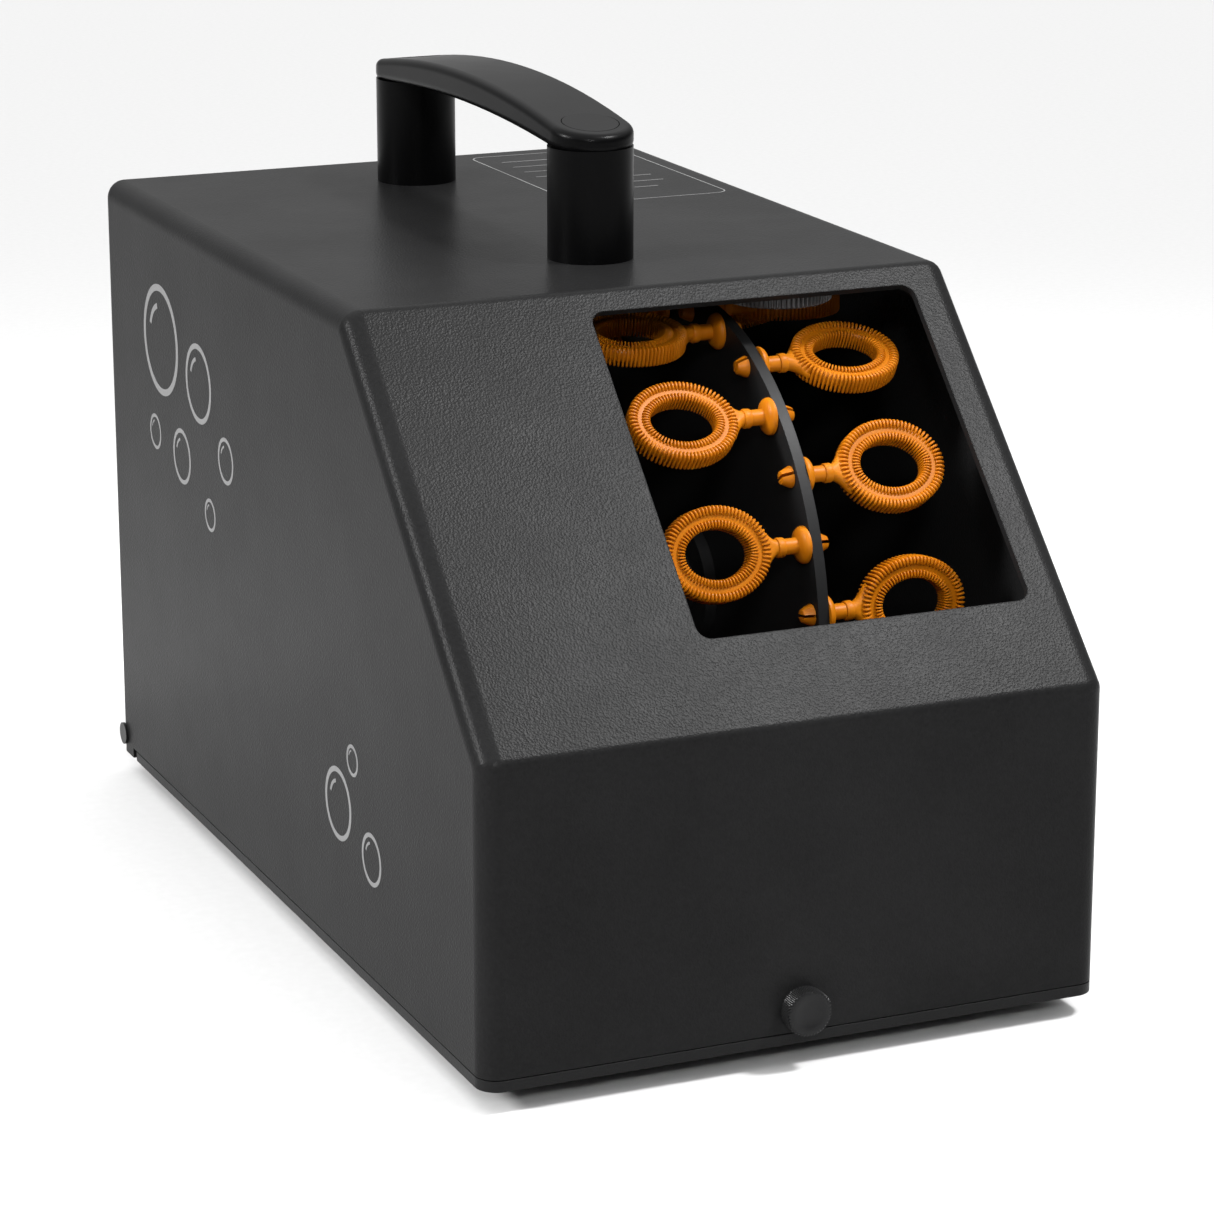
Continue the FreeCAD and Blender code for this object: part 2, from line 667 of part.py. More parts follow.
def wheel_core():
    """Axle, hub, clamp and their fasteners, all turning together."""
    axis = ("wheel_y", "wheel_z")
    axle_start = "bracket_x - axle_seat + 0.5"
    axle_end = f"{DISC_RIGHT} + clamp_thick + nut_thick + 0.5"
    keep(rod("x", axle_start, *axis, "axle_radius", f"{axle_end} - ({axle_start})"), "wheel_axle")
    hub = fuse(
        rod("x", f"{DISC_LEFT} - hub_long", *axis, "hub_neck", "hub_long"),
        rod("x", f"{DISC_LEFT} - flange_thick", *axis, "hub_radius", "flange_thick"),
    )
    hub_bore = rod("x", f"{DISC_LEFT} - hub_long - 1", *axis, "axle_radius", "hub_long + 2")
    clamp = rod("x", DISC_RIGHT, *axis, "hub_radius", "clamp_thick")
    clamp_bore = rod("x", f"{DISC_RIGHT} - 1", *axis, "axle_radius", "clamp_thick + 2")
    hub_holes, clamp_holes, screws = [], [], []
    for y, z in three_spots("hub_bolts", 30):
        hub_holes.append(rod("x", f"{DISC_LEFT} - 2.5", y, z, "small_shank + fit", "4"))
        clamp_holes.append(rod("x", f"{DISC_RIGHT} - 1", y, z, "small_shank + fit", "clamp_thick + 2"))
        shank = rod("x", f"{DISC_LEFT} - 2", y, z, "small_shank", "disc_thick + clamp_thick + 2.5")
        head = rod("x", f"{DISC_RIGHT} + clamp_thick", y, z, "small_head", "head_tall")
        screws.append(fuse(shank, head))
    keep(cut(hub, hub_bore, *hub_holes), "wheel_hub")
    keep(cut(clamp, clamp_bore, *clamp_holes), "hub_clamp")
    group("hub_screws", screws)
    nut = doc.addObject("Part::Prism", "Nut")
    nut.Polygon = 6
    bind(nut, Circumradius="nut_corner", Height="nut_thick")
    nut.Placement = Placement(Vector(), TURN["x"])
    put(nut, f"{DISC_RIGHT} + clamp_thick", *axis)
    nut_bore = rod("x", f"{DISC_RIGHT} + clamp_thick - 1", *axis, "axle_radius", "nut_thick + 2")
    keep(cut(nut, nut_bore), "hub_nut")


def wand_disc():
    body = new_body("wand_disc")
    axis = ("wheel_y", "wheel_z")
    through = (f"{DISC_LEFT} - 1", "disc_thick + 2")
    add(body, "YZ_Plane", DISC_LEFT, "disc_thick", ring, *axis, "disc_radius")
    remove(body, "YZ_Plane", *through, ring, *axis, "axle_radius")
    for y, z in three_spots("hub_bolts", 30):
        remove(body, "YZ_Plane", *through, ring, y, z, "small_shank + fit")
    seats = new_sketch(body, "YZ_Plane", f"{DISC_LEFT} - 1", "0")
    for number in range(int(value("wand_count"))):
        angle = f"(wand_start + {number} * 360 / wand_count)"
        y = f"wheel_y - wand_pitch_radius * cos({angle})"
        z = f"wheel_z + wand_pitch_radius * sin({angle})"
        ring(seats, y, z, "stem_radius + 0.02")
    pocket = body.newObject("PartDesign::Pocket", "WandSeats")
    pocket.Profile = seats
    pocket.setExpression("Length", ex("disc_thick + 2"))
    pocket.Reversed = True
    body.Tip = pocket


def wand():
    """One wand along +X from the disc's middle plane, its ring facing +Z."""
    half = value("disc_thick / 2")
    stem = value("stem_radius")
    skirt_radius = value("skirt_radius")
    reach = value("wand_reach")
    tall = value("ring_tall")
    tip_long = value("tip_long")
    flare_long = value("flare_long")
    collar_long = value("collar_long")
    along = Vector(1, 0, 0)
    ring_start = value("wand_reach - ring_long")
    flare_start = ring_start + 1.1 - flare_long
    gap = value("3 * fit")

    def turned(start, length, radius, end_radius):
        place = Vector(start, 0, 0)
        if radius == end_radius:
            return Part.makeCylinder(radius, length, place, along)
        return Part.makeCone(radius, end_radius, length, place, along)

    tip = turned(-half - gap - tip_long, tip_long, value("tip_neck"), value("tip_radius"))
    shank = turned(-half - 4 * gap, ring_start + half + 3, stem, stem)
    rim = turned(half + gap / 3, 4 * gap, skirt_radius, skirt_radius)
    skirt = turned(half + 4 * gap, 1.7, skirt_radius, stem)
    collar = turned(flare_start - collar_long, collar_long, stem + 3 * gap, stem + 3 * gap)
    flare = turned(flare_start, flare_long, stem, tall / 2)
    band = oval(reach, tall, 0).cut(oval(reach, tall, value("ring_wall")))
    slit_wide = value("tip_slit")
    slit_start = Vector(-half - tip_long - 1, -slit_wide / 2, -stem * 2)
    slit = Part.makeBox(tip_long + 1, slit_wide, stem * 4, slit_start)
    solid = shank.fuse([tip, skirt, rim, collar, flare, band]).cut(slit)
    return solid.removeSplitter().Solids[0]


def oval(reach, tall, shrink):
    """An upright oval block for a wand's ring, smaller than the ring by shrink all round."""
    across, along = value("ring_short") - shrink, value("ring_long") - shrink
    edge = Part.Ellipse(Vector(reach, 0, -tall / 2), along, across).toShape()
    return Part.Face(Part.Wire([edge])).extrude(Vector(0, 0, tall))


def wand_sets():
    """Thirteen wands on each side of the disc, set alternately round the wheel."""
    count = int(value("wand_count"))
    centre = Vector(value("wheel_x"), value("wheel_y"), value("wheel_z"))
    one = wand()
    sets = {"wands_right": [], "wands_left": []}
    for number in range(count):
        angle = value("wand_start") + number * 360.0 / count
        turn = Rotation(Vector(1, 0, 0), 90 - angle)
        seat = centre + turn.multVec(Vector(0, 0, value("wand_pitch_radius")))
        side = "wands_left" if number % 2 else "wands_right"
        if number % 2:
            turn = turn.multiply(Rotation(Vector(0, 0, 1), 180))
        placed = one.copy()
        placed.Placement = Placement(seat, turn)
        sets[side].append(placed)
    for label, solids in sets.items():
        holder = doc.addObject("Part::Feature", "Wands")
        holder.Shape = Part.makeCompound(solids)
        keep(holder, label)


# ---------------------------------------------------------------- blower
def blower_housing():
    body = new_body("blower_housing")
    axis = ("blower_y", "blower_z")
    shell = "scroll_wall"
    add(body, "YZ_Plane", "blower_left", "blower_wide", ring, *axis, "scroll_radius")
    duct = ("outlet_front", "blower_z + outlet_low", "blower_y", "blower_z + scroll_radius")
    add(body, "YZ_Plane", "blower_left", "blower_wide", oblong, *duct)
    start = f"blower_left + {shell}"
    remove(body, "YZ_Plane", start, "blower_wide", ring, *axis, f"scroll_radius - {shell}")
    inner = (
        "outlet_front - 1",
        f"blower_z + outlet_low + {shell}",
        "blower_y",
        f"blower_z + scroll_radius - {shell}",
    )
    remove(body, "YZ_Plane", start, "blower_wide", oblong, *inner)
    through = ("blower_left - 1", f"{shell} + 2")
    remove(body, "YZ_Plane", *through, ring, *axis, "motor_boss + 3")
    for y, z in four_spots():
        remove(body, "YZ_Plane", *through, ring, y, z, "small_hole")


def four_spots():
    """The screw places round the blower's axis."""
    angles = [45 + 90 * place for place in range(4)]
    reach = "blower_bolts"
    return [(f"blower_y + {reach} * cos({a})", f"blower_z + {reach} * sin({a})") for a in angles]


def blower_cover():
    body = new_body("blower_cover")
    axis = ("blower_y", "blower_z")
    start = "blower_left + blower_wide"
    add(body, "YZ_Plane", start, "scroll_wall", ring, *axis, "scroll_radius")
    duct = ("outlet_front", "blower_z + outlet_low", "blower_y", "blower_z + scroll_radius")
    add(body, "YZ_Plane", start, "scroll_wall", oblong, *duct)
    add(body, "YZ_Plane", f"{start} + 1", "scroll_wall + 1", ring, *axis, "eye_rim")
    remove(body, "YZ_Plane", f"{start} - 1", "3 * scroll_wall + 2", ring, *axis, "eye_radius")


def blower_rotor():
    axis = ("blower_y", "blower_z")
    left = "(blower_left + scroll_wall + 3)"
    right = f"({left} + rotor_wide)"
    back = rod("x", left, *axis, "rotor_radius", "rotor_plate")
    hub = rod("x", left, *axis, "6", "20")
    front_plate = rod("x", f"{right} - rotor_plate", *axis, "rotor_radius", "rotor_plate")
    front_hole = rod("x", f"{right} - 2 * rotor_plate", *axis, "rotor_radius - blade_deep", "3 * rotor_plate")
    front = cut(front_plate, front_hole)
    blades = []
    count = int(value("blade_count"))
    blade_foot = value("rotor_radius - blade_deep - 0.3")
    for number in range(count):
        blade = box("0", "0", "0", "rotor_wide - 1", "1", "blade_deep")
        turn = Rotation(Vector(1, 0, 0), number * 360.0 / count)
        offset = turn.multVec(Vector(0, -0.5, blade_foot))
        blade.Placement = Placement(Vector(), turn)
        put(blade, f"{left} + 0.5", f"blower_y + {offset.y}", f"blower_z + {offset.z}")
        blades.append(blade)
    bore = rod("x", f"{left} - 1", *axis, "fan_shaft_radius", "30")
    keep(cut(fuse(back, hub, front, *blades), bore), "blower_rotor")
    keep(rod("x", "blower_left - 20", *axis, "fan_shaft_radius", "42"), "blower_shaft")


def blower_motor():
    axis = ("blower_y", "blower_z")
    can = rod("x", "blower_left - 0.2 - fan_motor_long", *axis, "fan_motor_radius", "fan_motor_long")
    boss = rod("x", "blower_left - 1", *axis, "motor_boss", "4")
    bore = rod("x", "blower_left - 21", *axis, "fan_shaft_radius + fit", "26")
    keep(cut(fuse(can, boss), bore), "blower_motor")


def blower_stand():
    body = new_body("blower_stand")
    left = "(blower_left - sheet)"
    upright = [
        ("blower_y - stand_front", FLOOR),
        ("blower_y + stand_rear", FLOOR),
        ("blower_y + stand_top", "blower_z + stand_top"),
        ("blower_y - stand_top", "blower_z + stand_top"),
    ]
    add(body, "YZ_Plane", left, "sheet", outline, upright)
    foot = (f"{left} - stand_foot", "blower_y - stand_front", f"{left} + sheet", "blower_y + stand_rear")
    add(body, "XY_Plane", FLOOR, "sheet", oblong, *foot)
    through = (f"{left} - 1", "sheet + 2")
    remove(body, "YZ_Plane", *through, ring, "blower_y", "blower_z", "fan_motor_radius + seam")
    screws = []
    for y, z in four_spots():
        remove(body, "YZ_Plane", *through, ring, y, z, "small_hole")
        shank = rod("x", f"{left} - 0.5", y, z, "small_shank", "sheet + 2.6")
        head = rod("x", f"{left} - head_tall - fit", y, z, "small_head", "head_tall")
        screws.append(fuse(shank, head))
    group("blower_screws", screws)


# ---------------------------------------------------------------- electrics
def control_board():
    """A board with its relay, choke, capacitor and plug, on four stand-offs."""
    low = f"{FLOOR} + board_lift"
    seat = f"{low} + board_thick / 2"
    board = box("board_left", "board_front", low, "board_wide", "board_long", "board_thick")
    relay = box("board_left + 4", "board_front + 28", seat, "18", "14", "15")
    choke = rod("z", "board_left + 30", "board_front + 34", seat, "7", "13")
    capacitor = rod("z", "board_left + 12", "board_front + 12", seat, "5", "18")
    plug = box("board_left + 22", "board_front + 2", seat, "18", "8", "9")
    near_x, far_x = "board_left + board_inset", "board_left + board_wide - board_inset"
    near_y, far_y = "board_front + board_inset", "board_front + board_long - board_inset"
    corners = [(x, y) for x in (near_x, far_x) for y in (near_y, far_y)]
    holes = [rod("z", x, y, f"{low} - 2", "small_hole", "board_thick + 5") for x, y in corners]
    keep(cut(fuse(board, relay, choke, capacitor, plug), *holes), "control_board")
    posts = []
    for x, y in corners:
        post = rod("z", x, y, FLOOR, "2 * small_shank", "board_lift")
        pin = rod("z", x, y, f"{low} - 1", "small_shank", "board_thick + 3")
        posts.append(fuse(post, pin))
    group("board_standoffs", posts)


def power_supply():
    """A closed sheet case with a row of vent slots in its lid."""
    case = box("board_left", "supply_front", FLOOR, "supply_wide", "supply_long", "supply_tall")
    slots = []
    for step in range(5):
        left = f"board_left + 6 + {7 * step}"
        slots.append(box(left, "supply_front + 13", f"{FLOOR} + supply_tall - 1.5", "3", "30", "3"))
    keep(cut(case, *slots), "power_supply")


def rear_panel():
    """A joggled sheet standing on the base behind the hood's hatch."""
    body = new_body("rear_panel")
    low = "(base_rear - panel_sheet)"
    face_in = "(panel_face - panel_sheet)"
    foot_end = "(base_rear - panel_foot)"
    profile = [
        (foot_end, FLOOR),
        ("base_rear", FLOOR),
        ("base_rear", "panel_jog"),
        ("panel_face", "panel_jog"),
        ("panel_face", "panel_top"),
        (face_in, "panel_top"),
        (face_in, "panel_jog + panel_sheet"),
        (low, "panel_jog + panel_sheet"),
        (low, f"{FLOOR} + panel_sheet"),
        (foot_end, f"{FLOOR} + panel_sheet"),
    ]
    add(body, "YZ_Plane", "-panel_half", "2 * panel_half", outline, profile)
    through = (f"{face_in} - 1", "panel_sheet + 2")
    inlet = ("inlet_x - 14", "inlet_z - 10", "inlet_x + 14", "inlet_z + 10")
    switch = ("inlet_x - 6.6", "switch_z - 9.6", "inlet_x + 6.6", "switch_z + 9.6")
    remove(body, "XZ_Plane", *through, oblong, *inlet)
    remove(body, "XZ_Plane", *through, oblong, *switch)
    remove(body, "XZ_Plane", *through, ring, "fuse_x", "fuse_z", "6.2")
    screw_y = f"{foot_end} + 5.5"
    screws = []
    for x in ("-panel_screw", "panel_screw"):
        remove(body, "XY_Plane", f"{FLOOR} - 1", "panel_sheet + 2", ring, x, screw_y, "small_hole")
        shank = rod("z", x, screw_y, f"{FLOOR} + fit", "small_shank", "3")
        head = rod("z", x, screw_y, f"{FLOOR} + panel_sheet", "small_head", "head_tall")
        screws.append(fuse(shank, head))
    group("panel_screws", screws)


def power_inlet():
    """Three-pin appliance inlet: flange outside the panel, box behind it, open socket."""
    flange = box("inlet_x - 16", "panel_face", "inlet_z - 12", "32", "1.8", "24")
    case = box("inlet_x - 13.6", "panel_face - 15", "inlet_z - 9.7", "27.2", "15.5", "19.4")
    socket = box("inlet_x - 12", "panel_face - 13", "inlet_z - 8.2", "24", "20", "16.4")
    pins = [
        box(f"inlet_x + {dx} - 1", "panel_face - 14", f"inlet_z + {dz} - 2", "2", "12", "4")
        for dx, dz in ((-7, -1), (0, 3), (7, -1))
    ]
    keep(fuse(cut(fuse(flange, case), socket), *pins), "power_inlet")


def fuse_holder():
    nose = rod("y", "fuse_x", "panel_face", "fuse_z", "7.5", "2.2")
    barrel = rod("y", "fuse_x", "panel_face - 22", "fuse_z", "6", "23")
    slot = box("fuse_x - 4", "panel_face + 1.2", "fuse_z - 0.6", "8", "3", "1.2")
    keep(cut(fuse(nose, barrel), slot), "fuse_holder")


def rocker_switch():
    """Switch case with a well, and a rocker that tilts in it on two short pins."""
    bezel = box("inlet_x - 7.7", "panel_face", "switch_z - 10.8", "15.4", "1.2", "21.6")
    case = box("inlet_x - 6.4", "panel_face - 13", "switch_z - 9.4", "12.8", "13.5", "18.8")
    well = box("inlet_x - 5.6", "panel_face - 10", "switch_z - 8.8", "11.2", "20", "17.6")
    pivot = ("panel_face - pivot_in", "switch_z")
    seat = rod("x", "inlet_x - 6.2", *pivot, "rocker_pin + fit", "12.4")
    keep(cut(fuse(bezel, case), well, seat), "switch_body")
    body = new_body("switch_rocker")
    deep, high, crest = "-4", "8", "1.6"
    face = [
        (deep, "-5"),
        (deep, "5"),
        ("-1", high),
        (f"{crest} + 1", high),
        (crest, "0"),
        (f"{crest} + 1", f"-{high}"),
        ("-1", f"-{high}"),
    ]
    add(body, "YZ_Plane", "-rocker_half", "2 * rocker_half", outline, face)
    add(body, "YZ_Plane", "-rocker_half - 0.9", "2 * rocker_half + 1.8", ring, "0", "0", "rocker_pin")
    body.Placement = Placement(Vector(), Rotation(Vector(1, 0, 0), value("rocker_tilt")))
    put(body, "inlet_x", *pivot)


# ---------------------------------------------------------------- lock
def lock():
    """Fork on the base; screw, washer and nut that leave it upwards with the hood."""
    fork = new_body("lock_fork")
    fork_front = f"({FRONT} + wall + fork_gap)"
    slot_half, slot_low = "(screw_radius + slot_gap)", "lock_z - screw_radius - slot_gap"
    fork_top = "lock_z + 8"
    fork_profile = [
        ("-fork_half", FLOOR),
        ("fork_half", FLOOR),
        ("fork_half", fork_top),
        (slot_half, fork_top),
        (slot_half, slot_low),
        (f"-{slot_half}", slot_low),
        (f"-{slot_half}", fork_top),
        ("-fork_half", fork_top),
    ]
    add(fork, "XZ_Plane", fork_front, "sheet", outline, fork_profile)
    foot = ("-fork_half", fork_front, "fork_half", f"{fork_front} + fork_foot")
    add(fork, "XY_Plane", FLOOR, "sheet", oblong, *foot)
    screws = []
    spot_y = f"{fork_front} + fork_foot - 5.5"
    for x in ("-fork_screw", "fork_screw"):
        remove(fork, "XY_Plane", f"{FLOOR} - 1", "sheet + 2", ring, x, spot_y, "small_hole")
        shank = rod("z", x, spot_y, f"{FLOOR} + fit", "small_shank", "3")
        head = rod("z", x, spot_y, f"{FLOOR} + sheet", "small_head", "head_tall")
        screws.append(fuse(shank, head))
    group("fork_screws", screws)
    washer_back = f"({FRONT} - washer_gap)"
    knob_back = f"({washer_back} - washer_thick - knob_gap)"
    washer = rod("y", "0", f"{washer_back} - washer_thick", "lock_z", "knob_radius - 1.2", "washer_thick")
    washer_bore = rod("y", "0", f"{washer_back} - 2", "lock_z", "screw_radius + fit", "4")
    keep(cut(washer, washer_bore), "lock_washer")
    knob_face = f"{knob_back} - knob_thick"
    head = rod("y", "0", knob_face, "lock_z", "knob_radius", "knob_thick")
    dish = cone("y", "0", knob_face, "lock_z", "knob_radius - 1", "knob_radius - 2.2", "0.5")
    stud = rod("y", "0", f"{knob_back} - 1", "lock_z", "screw_radius", "screw_long + 1")
    keep(fuse(cut(head, dish), stud), "thumb_screw")
    nut_front = f"({fork_front} + sheet + 0.4)"
    nut = box("-fork_half / 2", nut_front, "lock_z - fork_half / 2", "fork_half", "4", "fork_half")
    nut_bore = rod("y", "0", f"{nut_front} - 1", "lock_z", "screw_radius + fit", "6")
    keep(cut(nut, nut_bore), "lock_nut")


# ---------------------------------------------------------------- handle
def arc_between(sketch, start, end, rise):
    """An arc from one pinned point to another, bowed upwards by rise."""
    first = Vector(value(start[0]), value(start[1]), 0)
    last = Vector(value(end[0]), value(end[1]), 0)
    middle = (first + last) * 0.5 + Vector(0, value(rise), 0)
    index = sketch.addGeometry(Part.Arc(first, middle, last), False)
    span = f"abs({end[0]} - ({start[0]}))"
    radius = f"(({span}) * ({span}) / (8 * {rise}) + {rise} / 2)"
    return index, radius


def handle_grip():
    """An arched strap with round ends over the two posts."""
    body = new_body("handle_grip")
    end_a = "(handle_y - handle_span / 2 - post_radius)"
    end_b = "(handle_y + handle_span / 2 + post_radius)"
    low_end, top_end = "grip_under - grip_drop / 2", "grip_top - grip_drop"
    low_a, low_b = (end_a, low_end), (end_b, low_end)
    top_a, top_b = (end_a, top_end), (end_b, top_end)
    sketch = new_sketch(body, "YZ_Plane", "-post_radius", "0")
    under, under_radius = arc_between(sketch, low_a, low_b, "(grip_under_rise + grip_drop / 2)")
    over, over_radius = arc_between(sketch, top_a, top_b, "(grip_top_rise + grip_drop)")
    for geometry, ends in ((under, (low_a, low_b)), (over, (top_a, top_b))):
        first = sketch.getPoint(geometry, 1)
        order = ends if first.x < value("handle_y") else ends[::-1]
        pin_point(sketch, geometry, 1, *order[0])
        pin_point(sketch, geometry, 2, *order[1])
    for geometry, radius in ((under, under_radius), (over, over_radius)):
        size = sketch.addConstraint(Sketcher.Constraint("Radius", geometry, value(radius)))
        sketch.setExpression(f"Constraints[{size}]", ex(radius))
    for low, top in ((low_a, top_a), (low_b, top_b)):
        low_point = Vector(value(low[0]), value(low[1]), 0)
        top_point = Vector(value(top[0]), value(top[1]), 0)
        index = sketch.addGeometry(Part.LineSegment(low_point, top_point), False)
        pin_point(sketch, index, 1, *low)
        pin_point(sketch, index, 2, *top)
    pad = body.newObject("PartDesign::Pad", "Strap")
    pad.Profile = sketch
    pad.setExpression("Length", ex("2 * post_radius"))
    body.Tip = pad
    round_edges(body, "post_radius - 0.05", lambda edge: runs_along(edge, Vector(0, 0, 1)))
    doc.recompute()

    def rim(edge):
        return not runs_along(edge, Vector(0, 0, 1)) and edge.BoundBox.ZLength < 12 and edge.Length > 5

    round_edges(body, "grip_round", rim)
    return body


def tilted_rod(end, radius, length, sink):
    """A short cylinder square to the grip's top over one post, sunk below it."""
    slope = math.degrees(math.asin(value("handle_span / 2 / grip_curve")))
    tilt = Rotation(Vector(1, 0, 0), -slope * end)
    disc = doc.addObject("Part::Cylinder", "Disc")
    disc.Placement = Placement(Vector(), tilt)
    bind(disc, Radius=radius, Height=length)
    post_y = f"handle_y + {end} * handle_span / 2"
    down = tilt.multVec(Vector(0, 0, 1))
    return put(disc, "0", f"{post_y} - {sink} * {down.y}", f"grip_top - {sink} * {down.z}")


def handle_fittings(grip):
    """Posts, caps and screws; the grip's recesses are cut here."""
    NODES.remove(grip)
    grip.Label = "grip_blank"
    posts, screws, caps, recesses = [], [], [], []
    for end in (-1, 1):
        post_y = f"handle_y + {end} * handle_span / 2"
        post = rod("z", "0", post_y, TOP, "post_radius", f"grip_under + 0.6 - {TOP}")
        bore = rod("z", "0", post_y, f"{TOP} - 1", "post_screw + 0.2", "60")
        posts.append(cut(post, bore))
        shank = rod("z", "0", post_y, f"{CEILING} - 1", "post_screw", f"grip_under + 4.2 - {CEILING}")
        head = rod("z", "0", post_y, f"{CEILING} - 3", "post_head", "3")
        screws.append(fuse(shank, head))
        recesses.append(rod("z", "0", post_y, "grip_under - 6", "post_screw", "9.3"))
        recesses.append(tilted_rod(end, "cap_radius + 0.25", "4", "cap_sink"))
        caps.append(tilted_rod(end, "cap_radius", "cap_thick", "cap_sink"))
    doc.recompute()
    trimmed_posts = [cut(post, grip) for post in posts]
    group("handle_posts", trimmed_posts)
    group("handle_screws", screws)
    group("handle_caps", caps)
    keep(cut(grip, *recesses), "handle_grip")


# ---------------------------------------------------------------- lamp
def lamp():
    spot = ("lamp_x", "lamp_y")
    drum = rod("z", *spot, "lamp_low", "lamp_radius", "lamp_step - lamp_low")
    neck = rod("z", *spot, "lamp_step - 1", "lamp_radius - 4", f"{CEILING} - lamp_step + 1")
    hollow = rod("z", *spot, "lamp_low - 1", "lamp_radius - lamp_rim", "4")
    keep(cut(fuse(drum, neck), hollow), "lamp_body")
    keep(rod("z", *spot, "lamp_low + 0.3", "lamp_radius - lamp_rim", "1.2"), "lamp_lens")
    keep(rod("z", *spot, "lamp_low + 2.0", "lamp_radius - 3", "0.9"), "lamp_board")


hood_shell()
hinge_pins()
foot_spots = base_plate()
feet(foot_spots)
fluid_tank()
wheel_bracket()
wheel_drive()
wheel_core()
wand_disc()
wand_sets()
blower_housing()
blower_cover()
blower_rotor()
blower_motor()
blower_stand()
control_board()
power_supply()
rear_panel()
power_inlet()
fuse_holder()
rocker_switch()
lock()
handle_fittings(handle_grip())
lamp()
doc.recompute()

failed = [one.Name for one in doc.Objects if "Invalid" in one.State or "Error" in one.State]
for node in NODES:
    if node.Shape.isNull() or not node.Shape.isValid():
        failed.append(node.Label)
if failed:
    raise SystemExit("not built: " + ", ".join(failed))
for node in NODES:
    node.Shape.exportStep(f"parts/{node.Label}.step")
    bounds = node.Shape.BoundBox
    print(
        f"{node.Label:20s} solids {len(node.Shape.Solids):2d} volume {node.Shape.Volume:10.1f}"
        f"  x {bounds.XMin:7.2f} {bounds.XMax:7.2f}  y {bounds.YMin:7.2f} {bounds.YMax:7.2f}"
        f"  z {bounds.ZMin:7.2f} {bounds.ZMax:7.2f}"
    )
print(len(NODES), "sub-parts")
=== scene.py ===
"""Looks of the bubble machine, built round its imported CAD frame.  Metres, +Z up, the front faces -Y."""

import json
import math

import bmesh
import bpy
from mathutils import Matrix, Vector


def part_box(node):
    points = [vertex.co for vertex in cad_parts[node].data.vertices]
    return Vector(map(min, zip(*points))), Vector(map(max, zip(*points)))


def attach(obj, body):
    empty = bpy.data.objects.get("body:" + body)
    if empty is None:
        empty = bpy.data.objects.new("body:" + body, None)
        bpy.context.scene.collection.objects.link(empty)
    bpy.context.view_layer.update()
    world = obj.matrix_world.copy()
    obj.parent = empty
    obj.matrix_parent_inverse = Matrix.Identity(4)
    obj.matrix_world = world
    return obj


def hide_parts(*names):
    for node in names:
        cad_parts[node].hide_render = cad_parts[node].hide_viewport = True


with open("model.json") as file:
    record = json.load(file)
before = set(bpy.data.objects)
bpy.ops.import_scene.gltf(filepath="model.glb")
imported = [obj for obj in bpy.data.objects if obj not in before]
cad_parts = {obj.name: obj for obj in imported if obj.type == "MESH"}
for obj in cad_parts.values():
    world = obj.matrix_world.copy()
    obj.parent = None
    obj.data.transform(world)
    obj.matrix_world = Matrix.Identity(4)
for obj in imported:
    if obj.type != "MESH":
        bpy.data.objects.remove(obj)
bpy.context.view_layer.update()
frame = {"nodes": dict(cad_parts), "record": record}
NODES = frame["nodes"]
MM = 0.001

# ---------------------------------------------------------------- sizes, in millimetres and degrees
# The wands stand round the disc, every other one on its left side.
WAND_COUNT = 26
WAND_START = 7.8
WAND_CIRCLE = 79.25
DISC_HALF = 1.6

# A wand reaches from the disc's middle plane (0) to its ring; the ring's middle line is an ellipse.
STEM = 2.25
STEM_SIDES = 28
SKIRT = 5.2
SKIRT_SIDES = 40
COLLAR_LONG = 2.2
FLARE_LONG = 2.4
TIP_SLIT = 0.45
RING_CENTRE = 28.4
RING_ALONG = 12.65
RING_ACROSS = 10.05
RING_HALF_BAND = 3.15
CORE_HALF_WIDE = 2.1
CORE_HALF_TALL = 2.05
OUTER_FINS = 74
INNER_FINS = 66

# The thumb screw's head and the lamp's drum.
KNURLS = 40
KNURL_STEPS = 6
KNURL_DEEP = 0.8
HEAD_THICK = 5.0
SHANK = 2.0
LAMP_RIBS = 66
RIB_STEPS = 8
RIB_DEEP = 0.95
LAMP_NECK_INSET = 4.0
LAMP_STEP_HIGH = 5.2

# The prints reach INK out of the surface and into it.  Bubbles are (along Y, up, radius) on the left side.
INK = 0.05
BUBBLES = [
    (104, 152, 17.0), (68, 146, 12.0), (86, 120, 8.5), (44, 128, 7.0), (60, 108, 5.0), (112, 122, 5.5),
    (-48, 52, 10.5), (-74, 44, 7.5), (-60, 68, 4.5),
]
PANEL_X = (28.8, 80.0)
PANEL_Y = (63.0, 151.0)
PANEL_CORNER = 4.5
PANEL_LINE = 0.45
RULE_COUNT = 7
RULE_PITCH = 9.5


# ---------------------------------------------------------------- mesh helpers
def make_mesh(name, bm, material, smooth_angle):
    """Turn a bmesh in millimetres into a mesh in metres, smooth up to an angle in degrees."""
    bmesh.ops.recalc_face_normals(bm, faces=bm.faces)
    bm.transform(Matrix.Scale(MM, 4))
    mesh = bpy.data.meshes.new(name)
    bm.to_mesh(mesh)
    bm.free()
    mesh.materials.append(material)
    mesh.shade_smooth()
    mesh.set_sharp_from_angle(angle=math.radians(smooth_angle))
    return mesh


def add_object(name, data):
    """A new object in the scene, for a mesh, a light or a camera."""
    made = bpy.data.objects.new(name, data)
    bpy.context.scene.collection.objects.link(made)
    return made


def new_piece(name, bm, material, body, smooth_angle=35.0):
    """A piece that rides on a body, from a bmesh in millimetres."""
    piece = add_object(name, make_mesh(name, bm, material, smooth_angle))
    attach(piece, body)
    return piece


def skin(bm, row, after):
    """Join two closed rows of vertices by a band of faces."""
    count = len(row)
    for i in range(count):
        j = (i + 1) % count
        bm.faces.new((row[i], row[j], after[j], after[i]))


